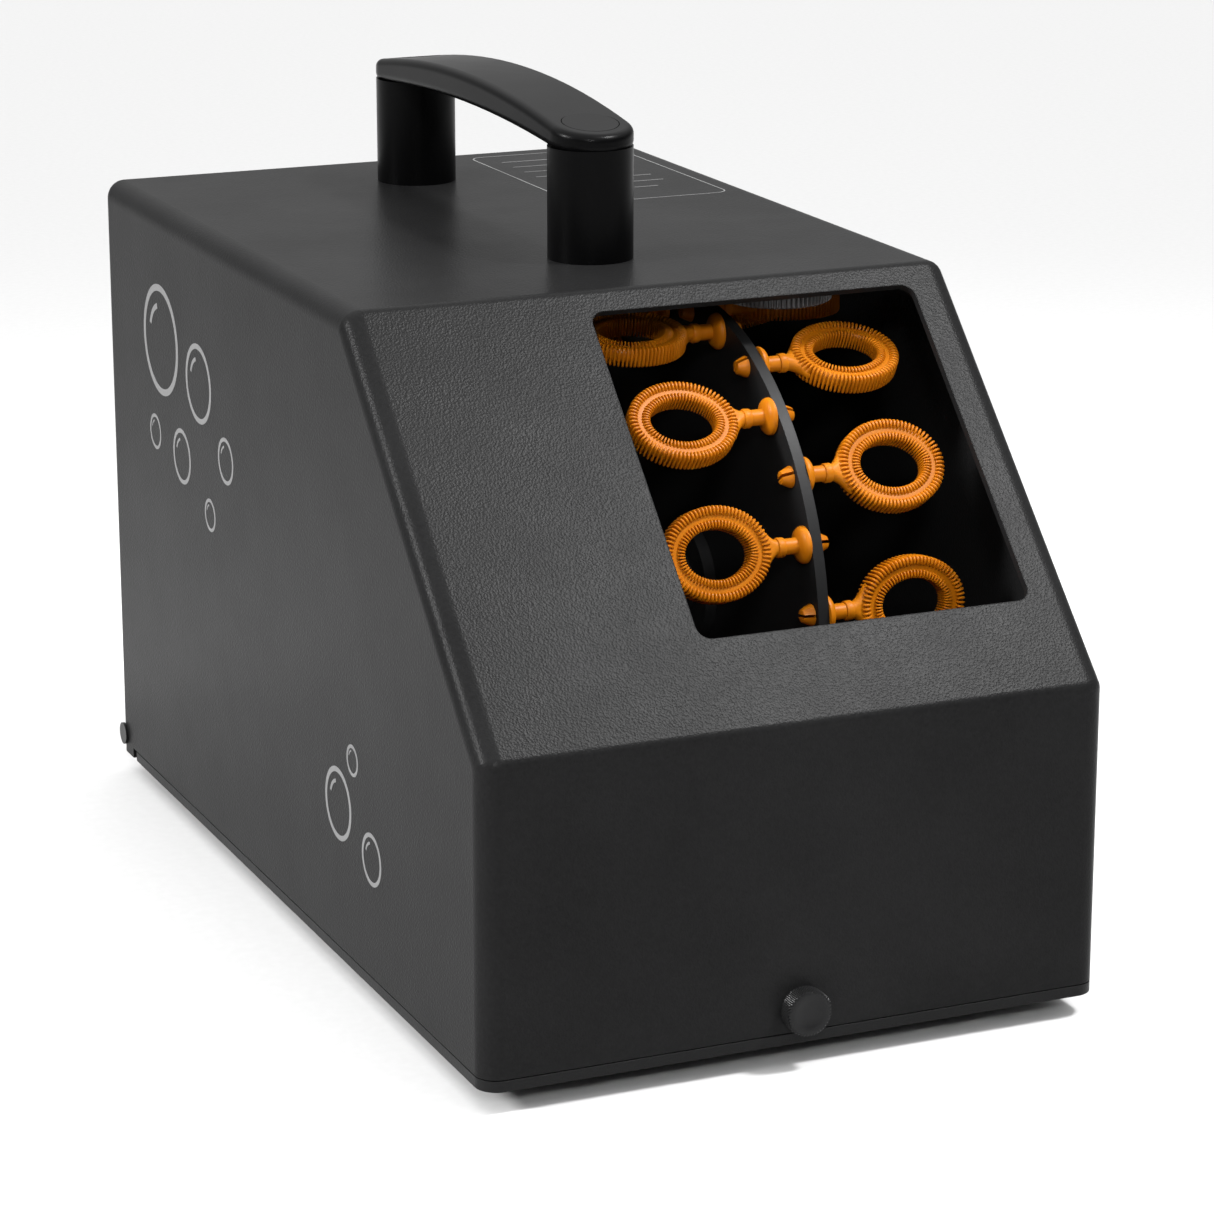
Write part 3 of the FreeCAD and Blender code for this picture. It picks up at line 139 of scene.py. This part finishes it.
def loft(bm, loops):
    """Skin a list of closed loops of points, one after another, and close both ends."""
    rows = [[bm.verts.new(point) for point in loop] for loop in loops]
    for row, after in zip(rows, rows[1:]):
        skin(bm, row, after)
    bm.faces.new(list(reversed(rows[0])))
    bm.faces.new(rows[-1])


def skin_ring(bm, rows):
    """Skin rows of vertices round and back to the first one."""
    for row, after in zip(rows, rows[1:] + rows[:1]):
        skin(bm, row, after)


def full_turn(count):
    """Evenly spaced angles round a circle, in radians."""
    return [2 * math.pi * i / count for i in range(count)]


def turned(bm, profile, sides):
    """A solid of revolution round X: profile is a list of (place along the axis, radius)."""
    loops = []
    for along, radius in profile:
        loops.append([(along, radius * math.cos(t), radius * math.sin(t)) for t in full_turn(sides)])
    loft(bm, loops)


def rounded_outline(low, high, half_tall, corner, steps):
    """A rounded rectangle as (u, v) points, u from low to high and v from -half_tall to half_tall."""
    points = []
    centres = [
        (high - corner, half_tall - corner, 0),
        (low + corner, half_tall - corner, 90),
        (low + corner, corner - half_tall, 180),
        (high - corner, corner - half_tall, 270),
    ]
    for u, v, start in centres:
        for i in range(steps):
            turn = math.radians(start + 90 * i / (steps - 1))
            points.append((u + corner * math.cos(turn), v + corner * math.sin(turn)))
    return points


# ---------------------------------------------------------------- wands
def ring_places(count):
    """Evenly spaced points of the ring's middle line, each with its outward normal."""
    steps = 1440
    line = []
    for i in range(steps + 1):
        turn = 2 * math.pi * i / steps
        line.append(Vector((RING_ALONG * math.cos(turn), RING_ACROSS * math.sin(turn), 0)))
    lengths = [0.0]
    for a, b in zip(line, line[1:]):
        lengths.append(lengths[-1] + (b - a).length)
    places, step = [], 0
    for number in range(count):
        target = lengths[-1] * number / count
        while lengths[step + 1] < target:
            step += 1
        share = (target - lengths[step]) / (lengths[step + 1] - lengths[step])
        turn = 2 * math.pi * (step + share) / steps
        point = Vector((RING_ALONG * math.cos(turn), RING_ACROSS * math.sin(turn), 0))
        normal = Vector((RING_ACROSS * math.cos(turn), RING_ALONG * math.sin(turn), 0)).normalized()
        places.append((point, normal))
    return places


def add_fins(bm, count, outline, thick, bevel):
    """Thin rounded plates across the ring's band; outline is in (outward, up)."""
    up = Vector((0, 0, 1))
    middle_u = sum(u for u, v in outline) / len(outline)
    for point, normal in ring_places(count):
        tangent = up.cross(normal)
        loops = []
        for offset, shrink in ((-thick / 2, bevel), (-thick / 4, 0), (thick / 4, 0), (thick / 2, bevel)):
            loop = []
            for u, v in outline:
                u_in = u - math.copysign(min(shrink, abs(u - middle_u)), u - middle_u)
                v_in = v - math.copysign(min(shrink, abs(v)), v)
                spot = point + normal * u_in + up * v_in + tangent * offset
                loop.append(spot + Vector((RING_CENTRE, 0, 0)))
            loops.append(loop)
        loft(bm, loops)


def add_ring_core(bm):
    """The smooth band that carries the fins, with a shallow channel round both faces."""
    squareness = 0.75
    channel_deep, channel_half, channel_place = 0.2, 0.6, -0.1
    section = []
    for turn in full_turn(24):
        c, s = math.cos(turn), math.sin(turn)
        u = CORE_HALF_WIDE * math.copysign(abs(c) ** squareness, c)
        v = CORE_HALF_TALL * math.copysign(abs(s) ** squareness, s)
        channel = channel_deep * math.exp(-(((u - channel_place) / channel_half) ** 2))
        section.append((u, v - math.copysign(channel, v) if abs(v) > 1 else v))
    rows = []
    for point, normal in ring_places(120):
        rows.append([bm.verts.new(point + normal * u + Vector((RING_CENTRE, 0, v))) for u, v in section])
    skin_ring(bm, rows)


def add_snap_tip(bm):
    """Two half cones with a slit between them, widest next to the disc."""
    profile = ((-4.95, 1.35), (-4.75, 1.8), (-2.2, 3.0), (-1.78, 3.05), (-1.65, 2.6))
    for side in (1, -1):
        loops = []
        for along, radius in profile:
            reach = math.asin(TIP_SLIT / radius)
            loop = []
            for i in range(11):
                turn = reach + (math.pi - 2 * reach) * i / 10
                loop.append((along, side * radius * math.sin(turn), radius * math.cos(turn)))
            loops.append(loop)
        loft(bm, loops)


def add_flare(bm, start):
    """The stem widens into a fork with a waist down its middle, and merges with the ring."""
    waist_deep, waist_half, waist_start = 0.22, 0.45, 3
    shapes = (
        (0.0, 2.25, 2.25), (0.9, 2.45, 2.3), (1.9, 3.3, 2.35),
        (2.9, 4.6, 2.4), (3.9, 6.1, 2.4), (4.8, 6.9, 2.3),
    )
    loops = []
    for along, across, tall in shapes:
        loop = []
        for turn in full_turn(STEM_SIDES):
            y, z = across * math.cos(turn), tall * math.sin(turn)
            hollow = waist_deep * math.exp(-((y / (waist_half * across)) ** 2))
            loop.append((start + along, y, z * (1 - hollow * min(1.0, along / waist_start))))
        loops.append(loop)
    loft(bm, loops)


def add_skirt(bm):
    """The round skirt that rests on the disc: a flat rim with a quarter-round back."""
    rim, back = DISC_HALF + 0.65, 1.9
    profile = [(DISC_HALF + 0.08, 3.4), (DISC_HALF + 0.05, 4.9), (DISC_HALF + 0.25, SKIRT), (rim, SKIRT)]
    for i in range(1, 9):
        turn = math.radians(90 * i / 9)
        profile.append((rim + back * math.sin(turn), STEM + (SKIRT - STEM) * math.cos(turn)))
    profile.append((DISC_HALF + 2.75, STEM))
    turned(bm, profile, SKIRT_SIDES)


def add_collar(bm, start):
    """A round collar where the stem meets the fork."""
    profile = ((0, 2.2), (0.15, 2.6), (0.35, 2.7), (1.9, 2.75), (2.2, 2.65), (2.4, 2.2))
    turned(bm, [(start + along, radius) for along, radius in profile], STEM_SIDES)


def wand_mesh(material):
    """One moulded wand along +X from the disc's middle plane, its ring facing +Z."""
    bm = bmesh.new()
    flare_start = RING_CENTRE - RING_ALONG - RING_HALF_BAND - FLARE_LONG
    turned(bm, [(-DISC_HALF - 0.1, STEM - 0.1), (-DISC_HALF, STEM), (flare_start + 0.4, STEM)], STEM_SIDES)
    add_skirt(bm)
    add_collar(bm, flare_start - COLLAR_LONG)
    add_flare(bm, flare_start)
    add_snap_tip(bm)
    add_ring_core(bm)
    outer = rounded_outline(0.4, RING_HALF_BAND, half_tall=2.95, corner=1.1, steps=5)
    inner = rounded_outline(-RING_HALF_BAND, -0.6, half_tall=2.75, corner=1.0, steps=5)
    add_fins(bm, OUTER_FINS, outer, thick=0.64, bevel=0.15)
    add_fins(bm, INNER_FINS, inner, thick=0.5, bevel=0.12)
    return make_mesh("wand", bm, material, 40)


def build_wands(material):
    """All wands share one mesh.  Those on the left are turned half round."""
    low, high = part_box("wand_disc")
    centre = (low + high) / 2
    mesh = wand_mesh(material)
    for number in range(WAND_COUNT):
        side = "left" if number % 2 else "right"
        angle = WAND_START + number * 360 / WAND_COUNT
        turn = Matrix.Rotation(math.radians(90 - angle), 4, "X")
        place = Matrix.Translation(centre) @ turn @ Matrix.Translation((0, 0, WAND_CIRCLE * MM))
        if side == "left":
            place = place @ Matrix.Rotation(math.pi, 4, "Z")
        piece = add_object(f"wand_{side}_{number // 2 + 1:02d}", mesh)
        piece.matrix_world = place
        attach(piece, "wheel")
        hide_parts(f"wands_{side}")


# ---------------------------------------------------------------- thumb screw and lamp
def knurl_radius(around, row, outer):
    """The head's radius at a step round it and a row along it: two crossed sets of ridges."""
    across, lean = around / KNURL_STEPS, row / 4
    crest = min(abs((across + lean) % 1 - 0.5), abs((across - lean) % 1 - 0.5)) * 2
    return outer - KNURL_DEEP * (1 - crest)


def build_thumb_screw(material):
    """A dished head with a diamond knurl, and its shank.  Loops go from the face back along +Y."""
    low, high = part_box("thumb_screw")
    x, z = (low.x + high.x) / 2 / MM, (low.z + high.z) / 2 / MM
    face, length = low.y / MM, (high.y - low.y) / MM
    outer = (high.x - low.x) / 2 / MM
    edge, rows = 0.15, 20
    turns = full_turn(KNURLS * KNURL_STEPS)
    dish = ((0.62, 0.05), (0.6, 1.6), (0.5, 2.6), (0.22, 3.9), (0.0, 4.75), (0.0, 5.6))
    loops = [(along, [radius] * len(turns)) for along, radius in dish]
    for row in range(rows + 1):
        along = edge + (HEAD_THICK - 2 * edge) * row / rows
        chamfer = outer - 0.5 + min(along, HEAD_THICK - along)
        ridged = [min(chamfer, knurl_radius(i, row, outer)) for i in range(len(turns))]
        loops.append((along, ridged))
    shank = ((HEAD_THICK, outer - 0.7), (HEAD_THICK, SHANK), (length - 0.5, SHANK), (length, SHANK - 0.5))
    loops += [(along, [radius] * len(turns)) for along, radius in shank]
    points = []
    for along, radii in loops:
        y = face + along
        points.append([(x + r * math.cos(t), y, z + r * math.sin(t)) for r, t in zip(radii, turns)])
    bm = bmesh.new()
    loft(bm, points)
    piece = new_piece("thumb_screw_knurled", bm, material, "screw", 30)
    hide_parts("thumb_screw")


def build_lamp(material):
    """The lamp's drum, open below for the lens, with upright ribs all round."""
    low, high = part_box("lamp_body")
    x, y = (low.x + high.x) / 2 / MM, (low.y + high.y) / 2 / MM
    bottom, top = low.z / MM, high.z / MM
    outer = (high.x - low.x) / 2 / MM
    root = outer - RIB_DEEP
    step = bottom + LAMP_STEP_HIGH
    neck, lens, shoulder = outer - LAMP_NECK_INSET, outer - 2.2, outer - 1.2
    turns = full_turn(LAMP_RIBS * RIB_STEPS)
    swells = [min(1.0, max(0.0, 1.35 * math.cos(LAMP_RIBS * turn) + 0.55)) for turn in turns]
    below = (
        (bottom + 3.0, 0.05), (bottom + 3.0, lens), (bottom + 0.3, lens),
        (bottom, lens + 0.3), (bottom, shoulder),
    )
    ribbed = ((bottom + 0.35, 0.45), (bottom + 0.7, 0.0), (step - 0.5, 0.0), (step - 0.1, 0.4))
    above = ((step, shoulder), (step, neck), (top - 0.1, neck), (top - 0.05, 0.05))
    loops = [(z, [radius] * len(turns)) for z, radius in below]
    loops += [(z, [root + (RIB_DEEP - inset) * swell for swell in swells]) for z, inset in ribbed]
    loops += [(z, [radius] * len(turns)) for z, radius in above]
    points = []
    for z, radii in loops:
        points.append([(x + r * math.cos(t), y + r * math.sin(t), z) for r, t in zip(radii, turns)])
    bm = bmesh.new()
    loft(bm, points)
    piece = new_piece("lamp_drum_ribbed", bm, material, "hood")
    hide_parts("lamp_body")


# ---------------------------------------------------------------- prints
def add_band(bm, inside, outside, place):
    """A flat closed band between two matching outlines, given in the surface's own (u, v)."""
    rows = []
    for outline, lift in ((inside, -INK), (outside, -INK), (outside, INK), (inside, INK)):
        rows.append([bm.verts.new(place(u, v, lift)) for u, v in outline])
    skin_ring(bm, rows)


def circle_outline(u, v, radius):
    """A circle as (u, v) points."""
    return [(u + radius * math.cos(t), v + radius * math.sin(t)) for t in full_turn(64)]


def glint_outline(u, v, radius):
    """The short bright arc at the upper left of a bubble."""
    inner, outer = [], []
    for i in range(13):
        turn = math.radians(105 + 55 * i / 12)
        c, s = math.cos(turn), math.sin(turn)
        inner.append((u - 0.56 * radius * c, v + 0.56 * radius * s))
        outer.append((u - 0.66 * radius * c, v + 0.66 * radius * s))
    return outer + inner[::-1]


def build_side_print(material):
    """A plain group of bubbles printed on the left side."""
    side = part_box("hood_shell")[0].x / MM
    bm = bmesh.new()

    def on_side(u, v, lift):
        return (side - lift, u, v)

    for u, v, radius in BUBBLES:
        line = 0.09 * radius + 0.55
        add_band(bm, circle_outline(u, v, radius - line), circle_outline(u, v, radius), on_side)
        glint = glint_outline(u, v, radius)
        loft(bm, [[on_side(a, b, lift) for a, b in glint] for lift in (-INK, INK)])
    new_piece("side_print", bm, material, "hood")


def build_top_print(material):
    """A thin outlined panel with plain rules, printed on the top."""
    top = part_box("hood_shell")[1].z / MM
    left, right = PANEL_X
    front, rear = PANEL_Y
    bm = bmesh.new()

    def on_top(u, v, lift):
        return (u, v, top + lift)

    def border(inset):
        half_wide = (right - left) / 2 - inset
        points = rounded_outline(-half_wide, half_wide, (rear - front) / 2 - inset, PANEL_CORNER - inset, 8)
        return [((left + right) / 2 + u, (front + rear) / 2 + v) for u, v in points]

    add_band(bm, border(PANEL_LINE), border(0.0), on_top)
    for row in range(RULE_COUNT):
        y = rear - 12 - row * RULE_PITCH
        end = right - (10 if row % 3 else 16)
        add_band(bm, rule_outline(left + 7, end, y, 0.1), rule_outline(left + 7, end, y, 0.35), on_top)
    new_piece("top_print", bm, material, "hood")


def rule_outline(start, end, y, half):
    """A straight rule's rectangle, half a width beyond its ends."""
    left, right, low, high = start - half, end + half, y - half, y + half
    return [(left, low), (right, low), (right, high), (left, high)]


# ---------------------------------------------------------------- materials
def material_parts(name):
    """A new material with its nodes, its links and its shader."""
    made = bpy.data.materials.new(name)
    made.use_nodes = True
    tree = made.node_tree
    return made, tree.nodes, tree.links, tree.nodes["Principled BSDF"]


def texture(nodes, links, kind, scale, stretch=(1, 1, 1), **settings):
    """A procedural texture on the object's own coordinates, in metres."""
    place = nodes.new("ShaderNodeTexCoord")
    mapping = nodes.new("ShaderNodeMapping")
    mapping.inputs["Scale"].default_value = stretch
    links.new(place.outputs["Object"], mapping.inputs["Vector"])
    made = nodes.new(kind)
    made.inputs["Scale"].default_value = scale
    for key, setting in settings.items():
        if key in made.inputs:
            made.inputs[key].default_value = setting
        else:
            setattr(made, key, setting)
    links.new(mapping.outputs["Vector"], made.inputs["Vector"])
    return made


def ramp_between(nodes, links, source, low, high, start=0.3, end=0.7):
    """Remap a texture to a range of values."""
    remap = nodes.new("ShaderNodeMapRange")
    remap.inputs["From Min"].default_value = start
    remap.inputs["From Max"].default_value = end
    remap.inputs["To Min"].default_value = low
    remap.inputs["To Max"].default_value = high
    links.new(source, remap.inputs["Value"])
    return remap.outputs["Result"]


def colour_noise(nodes, links, shader, noise, first, second):
    """Colour a shader between two colours by a noise texture."""
    tone = ramp_between(nodes, links, noise.outputs["Fac"], 0.0, 1.0)
    links.new(blend_colours(nodes, links, tone, first, second), shader.inputs["Base Color"])


def blend_colours(nodes, links, factor, first, second):
    """Mix two colours; sockets 6 and 7 are the node's colour inputs, 2 its colour output."""
    mix = nodes.new("ShaderNodeMix")
    mix.data_type = "RGBA"
    mix.inputs[6].default_value = (*first, 1)
    mix.inputs[7].default_value = (*second, 1)
    links.new(factor, mix.inputs[0])
    return mix.outputs[2]


def bump(nodes, links, height, distance, strength=1.0, before=None):
    """The normal of a bump, laid over another normal where one is given."""
    made = nodes.new("ShaderNodeBump")
    made.inputs["Strength"].default_value = strength
    made.inputs["Distance"].default_value = distance
    links.new(height, made.inputs["Height"])
    if before is not None:
        links.new(before, made.inputs["Normal"])
    return made.outputs["Normal"]


def moulded(name, dark, light, rough, grain, depth, specular=0.5, soft_edge=0.0):
    """Moulded plastic: fine leather-like grain, faint cloudiness and uneven gloss."""
    made, nodes, links, shader = material_parts(name)
    cloud = texture(nodes, links, "ShaderNodeTexNoise", 22, Detail=4)
    speck = texture(nodes, links, "ShaderNodeTexNoise", 0.55 / grain, Detail=2)
    share = nodes.new("ShaderNodeMath")
    share.operation = "MULTIPLY_ADD"
    links.new(speck.outputs["Fac"], share.inputs[0])
    share.inputs[1].default_value = 0.7
    cloud_part = ramp_between(nodes, links, cloud.outputs["Fac"], 0.0, 0.3)
    links.new(cloud_part, share.inputs[2])
    links.new(blend_colours(nodes, links, share.outputs[0], dark, light), shader.inputs["Base Color"])
    patch = texture(nodes, links, "ShaderNodeTexNoise", 60, Detail=3)
    gloss = ramp_between(nodes, links, patch.outputs["Fac"], rough - 0.012, rough + 0.018)
    links.new(gloss, shader.inputs["Roughness"])
    shader.inputs["Specular IOR Level"].default_value = specular
    pebble = texture(nodes, links, "ShaderNodeTexVoronoi", 1 / grain, feature="SMOOTH_F1")
    before = None
    if soft_edge:
        edge = nodes.new("ShaderNodeBevel")
        edge.samples = 4
        edge.inputs["Radius"].default_value = soft_edge
        before = edge.outputs["Normal"]
    links.new(bump(nodes, links, pebble.outputs["Distance"], depth, before=before), shader.inputs["Normal"])
    return made


def orange_plastic():
    """Translucent orange plastic with a soft shine."""
    made, nodes, links, shader = material_parts("wand_orange")
    cloud = texture(nodes, links, "ShaderNodeTexNoise", 130, Detail=3)
    colour_noise(nodes, links, shader, cloud, (0.36, 0.105, 0.002), (0.43, 0.135, 0.003))
    shader.inputs["Specular IOR Level"].default_value = 0.14
    shader.inputs["Subsurface Weight"].default_value = 0.1
    shader.inputs["Subsurface Radius"].default_value = (0.0012, 0.0006, 0.0002)
    shader.inputs["Subsurface Scale"].default_value = 1.0
    gloss = ramp_between(nodes, links, cloud.outputs["Fac"], 0.34, 0.46)
    links.new(gloss, shader.inputs["Roughness"])
    fine = texture(nodes, links, "ShaderNodeTexNoise", 2600, Detail=2)
    links.new(bump(nodes, links, fine.outputs["Fac"], 0.00001, 0.6), shader.inputs["Normal"])
    return made


def metal(name, colour, rough, stretch=(1, 1, 1)):
    """Plated or brushed metal: fine streaks along the least stretched axis."""
    made, nodes, links, shader = material_parts(name)
    streak = texture(nodes, links, "ShaderNodeTexNoise", 900, stretch, Detail=3)
    dark = tuple(0.78 * channel for channel in colour)
    colour_noise(nodes, links, shader, streak, dark, colour)
    shader.inputs["Metallic"].default_value = 1.0
    gloss = ramp_between(nodes, links, streak.outputs["Fac"], rough - 0.06, rough + 0.06)
    links.new(gloss, shader.inputs["Roughness"])
    links.new(bump(nodes, links, streak.outputs["Fac"], 0.000006), shader.inputs["Normal"])
    return made


def zinc_sheet():
    """Galvanised sheet with its spangle."""
    made, nodes, links, shader = material_parts("zinc_sheet")
    cells = texture(nodes, links, "ShaderNodeTexVoronoi", 220)
    tone = ramp_between(nodes, links, cells.outputs["Distance"], 0.0, 1.0, 0.0, 0.8)
    colour = blend_colours(nodes, links, tone, (0.56, 0.58, 0.6), (0.4, 0.41, 0.43))
    links.new(colour, shader.inputs["Base Color"])
    shader.inputs["Metallic"].default_value = 0.9
    gloss = ramp_between(nodes, links, cells.outputs["Distance"], 0.34, 0.5, 0.0, 0.8)
    links.new(gloss, shader.inputs["Roughness"])
    return made


def circuit_board():
    """Green lacquer over copper tracks."""
    made, nodes, links, shader = material_parts("circuit_board")
    tracks = texture(nodes, links, "ShaderNodeTexBrick", 170)
    tracks.inputs["Color1"].default_value = (0.015, 0.12, 0.05, 1)
    tracks.inputs["Color2"].default_value = (0.02, 0.15, 0.06, 1)
    tracks.inputs["Mortar"].default_value = (0.06, 0.26, 0.1, 1)
    tracks.inputs["Mortar Size"].default_value = 0.03
    links.new(tracks.outputs["Color"], shader.inputs["Base Color"])
    shader.inputs["Roughness"].default_value = 0.35
    links.new(bump(nodes, links, tracks.outputs["Fac"], 0.00002), shader.inputs["Normal"])
    return made


def frosted_lens():
    """Half clear plastic with a frosted face."""
    made, nodes, links, shader = material_parts("frosted_lens")
    frost = texture(nodes, links, "ShaderNodeTexNoise", 1500, Detail=2)
    colour_noise(nodes, links, shader, frost, (0.62, 0.62, 0.6), (0.78, 0.78, 0.75))
    shader.inputs["Transmission Weight"].default_value = 0.5
    shader.inputs["Roughness"].default_value = 0.45
    links.new(bump(nodes, links, frost.outputs["Fac"], 0.00002), shader.inputs["Normal"])
    return made


def printed(name, colour):
    """Pad-printed ink, a little uneven."""
    made, nodes, links, shader = material_parts(name)
    speck = texture(nodes, links, "ShaderNodeTexNoise", 1800, Detail=2)
    dark = tuple(0.86 * channel for channel in colour)
    colour_noise(nodes, links, shader, speck, dark, colour)
    shader.inputs["Roughness"].default_value = 0.6
    return made


def floor_paper():
    """Matt paper with faint fibres."""
    made, nodes, links, shader = material_parts("floor_paper")
    fibre = texture(nodes, links, "ShaderNodeTexNoise", 300, Detail=2)
    colour_noise(nodes, links, shader, fibre, (0.6, 0.6, 0.6), (0.62, 0.62, 0.62))
    shader.inputs["Roughness"].default_value = 0.75
    shader.inputs["Specular IOR Level"].default_value = 0.2
    return made


def black_finishes():
    """Moulded blacks of the outside and the inside.  Grain, depth and soft edge are in metres."""
    return {
        "hood_plastic": moulded(
            "hood_plastic", (0.006, 0.006, 0.0061), (0.014, 0.014, 0.0142), rough=0.3,
            grain=0.00055, depth=0.00006, specular=0.03, soft_edge=0.0005),
        "handle_plastic": moulded(
            "handle_plastic", (0.001, 0.001, 0.0011), (0.002, 0.002, 0.0021), rough=0.3,
            grain=0.0005, depth=0.00001, specular=0.06),
        "base_plastic": moulded(
            "base_plastic", (0.0045, 0.0045, 0.0046), (0.0085, 0.0085, 0.0087), rough=0.4,
            grain=0.0005, depth=0.00006, specular=0.1, soft_edge=0.0004),
        "foot_rubber": moulded(
            "foot_rubber", (0.01, 0.01, 0.01), (0.018, 0.018, 0.018), rough=0.75,
            grain=0.0006, depth=0.00004, specular=0.3, soft_edge=0.0004),
        "disc_plastic": moulded(
            "disc_plastic", (0.006, 0.006, 0.0062), (0.01, 0.01, 0.0103), rough=0.5,
            grain=0.0009, depth=0.00002, specular=0.2, soft_edge=0.0003),
        "tank_plastic": moulded(
            "tank_plastic", (0.018, 0.018, 0.019), (0.028, 0.028, 0.029), rough=0.38,
            grain=0.0008, depth=0.00001),
        "black_screw": moulded(
            "blackened_metal", (0.004, 0.004, 0.0042), (0.008, 0.008, 0.0083), rough=0.32,
            grain=0.0004, depth=0.00003, specular=0.15),
        "sheet_steel": moulded(
            "powder_coat", (0.014, 0.014, 0.015), (0.024, 0.024, 0.025), rough=0.42,
            grain=0.0007, depth=0.00004, soft_edge=0.0003),
        "gear_case": moulded(
            "gear_case", (0.05, 0.05, 0.052), (0.075, 0.075, 0.078), rough=0.45,
            grain=0.0005, depth=0.00002),
        "blower_plastic": moulded(
            "blower_plastic", (0.012, 0.012, 0.0125), (0.022, 0.022, 0.0225), rough=0.42,
            grain=0.0006, depth=0.00002, soft_edge=0.0003),
        "rotor_plastic": moulded(
            "rotor_plastic", (0.03, 0.03, 0.031), (0.045, 0.045, 0.046), rough=0.4,
            grain=0.0006, depth=0.00002),
        "lamp_plastic": moulded(
            "lamp_plastic", (0.03, 0.03, 0.031), (0.045, 0.045, 0.046), rough=0.42,
            grain=0.0005, depth=0.00002),
    }


def other_finishes():
    """Metals, coloured plastics, the lens and the board."""
    return {
        "wand_plastic": orange_plastic(),
        "steel": metal("zinc_plated_steel", (0.6, 0.6, 0.61), 0.32),
        "zinc_sheet": zinc_sheet(),
        "motor_case": metal("motor_steel", (0.52, 0.53, 0.55), 0.3, stretch=(0.12, 1, 1)),
        "brass": metal("plain_brass", (0.72, 0.5, 0.2), 0.28),
        "board": circuit_board(),
        "lens": frosted_lens(),
        "white_plastic": moulded(
            "white_nylon", (0.68, 0.68, 0.65), (0.76, 0.76, 0.73), rough=0.4,
            grain=0.0006, depth=0.00001),
        "red_plastic": moulded(
            "red_plastic", (0.34, 0.012, 0.01), (0.42, 0.02, 0.015), rough=0.25,
            grain=0.0006, depth=0.000005),
    }


def paint_nodes(finishes):
    """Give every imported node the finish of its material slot."""
    slots = {row["node"]: row["material_slot"] for row in frame["record"]["subparts"]}
    for name, node in NODES.items():
        node.data.materials.clear()
        node.data.materials.append(finishes[slots[name]])


# ---------------------------------------------------------------- stage
def add_area(name, place, aim, size, power, spread):
    """A square soft box with a grid that keeps its light within the spread, in degrees."""
    data = bpy.data.lights.new(name, "AREA")
    data.spread = math.radians(spread)
    data.shape = "RECTANGLE"
    data.size = data.size_y = size
    data.energy = power
    light = add_object(name, data)
    light.location = place
    light.rotation_euler = (Vector(aim) - Vector(place)).to_track_quat("-Z", "Y").to_euler()


def build_floor():
    """A wide sheet of pale paper, its top at the feet."""
    reach, thick = 14.0, 0.02
    corners = [(-reach, -reach), (reach, -reach), (reach, reach), (-reach, reach)]
    bm = bmesh.new()
    loft(bm, [[(x, y, z) for x, y in corners] for z in (-thick, 0.0)])
    bmesh.ops.recalc_face_normals(bm, faces=bm.faces)
    mesh = bpy.data.meshes.new("floor")
    bm.to_mesh(mesh)
    bm.free()
    mesh.materials.append(floor_paper())
    add_object("floor", mesh)


def build_world():
    """A white dome, bright overhead and pale behind the machine."""
    world = bpy.data.worlds.new("studio")
    bpy.context.scene.world = world
    world.use_nodes = True
    nodes, links = world.node_tree.nodes, world.node_tree.links
    sky = nodes["Background"]
    sky.inputs["Color"].default_value = (1, 1, 1, 1)
    direction = nodes.new("ShaderNodeTexCoord")
    split = nodes.new("ShaderNodeSeparateXYZ")
    links.new(direction.outputs["Generated"], split.inputs["Vector"])
    total = nodes.new("ShaderNodeMath")
    behind = ramp_between(nodes, links, split.outputs["Y"], 0.08, 0.5, start=-0.2, end=0.9)
    overhead = ramp_between(nodes, links, split.outputs["Z"], 0.0, 2.4, start=0.3, end=1.0)
    links.new(behind, total.inputs[0])
    links.new(overhead, total.inputs[1])
    links.new(total.outputs[0], sky.inputs["Strength"])


def build_lights():
    """The right box shines on the slant, the left one on the side, the fill through the window."""
    add_area("softbox_right", (1.5, -1.0, 3.0), (0.06, -0.14, 0.1), size=0.5, power=3.9, spread=30)
    add_area("softbox_left", (-2.3, 0.15, 1.35), (-0.09, -0.1, 0.16), size=0.6, power=3.0, spread=30)
    add_area("window_fill", (-0.9, -2.4, 1.5), (0.02, -0.08, 0.14), size=0.3, power=0.4, spread=20)


def build_camera():
    """In front of the machine, to its left and above, turned to the right and down by degrees."""
    turn_right, look_down = 23.486, 16.029
    data = bpy.data.cameras.new("camera")
    data.sensor_width = 36.0
    data.lens = 120.485
    data.clip_start, data.clip_end = 0.05, 60
    camera = add_object("camera", data)
    camera.location = (-0.4448, -1.0502, 0.413)
    camera.rotation_euler = (math.radians(90 - look_down), 0, math.radians(-turn_right))
    bpy.context.scene.camera = camera


# ---------------------------------------------------------------- the machine
build_floor()
build_world()
build_lights()
build_camera()
bpy.context.scene.view_settings.view_transform = "Standard"

FINISHES = {**black_finishes(), **other_finishes()}
paint_nodes(FINISHES)
build_wands(FINISHES["wand_plastic"])
build_thumb_screw(FINISHES["black_screw"])
build_lamp(FINISHES["lamp_plastic"])
build_side_print(printed("print_grey", (0.16, 0.16, 0.16)))
build_top_print(printed("print_faint", (0.15, 0.15, 0.15)))
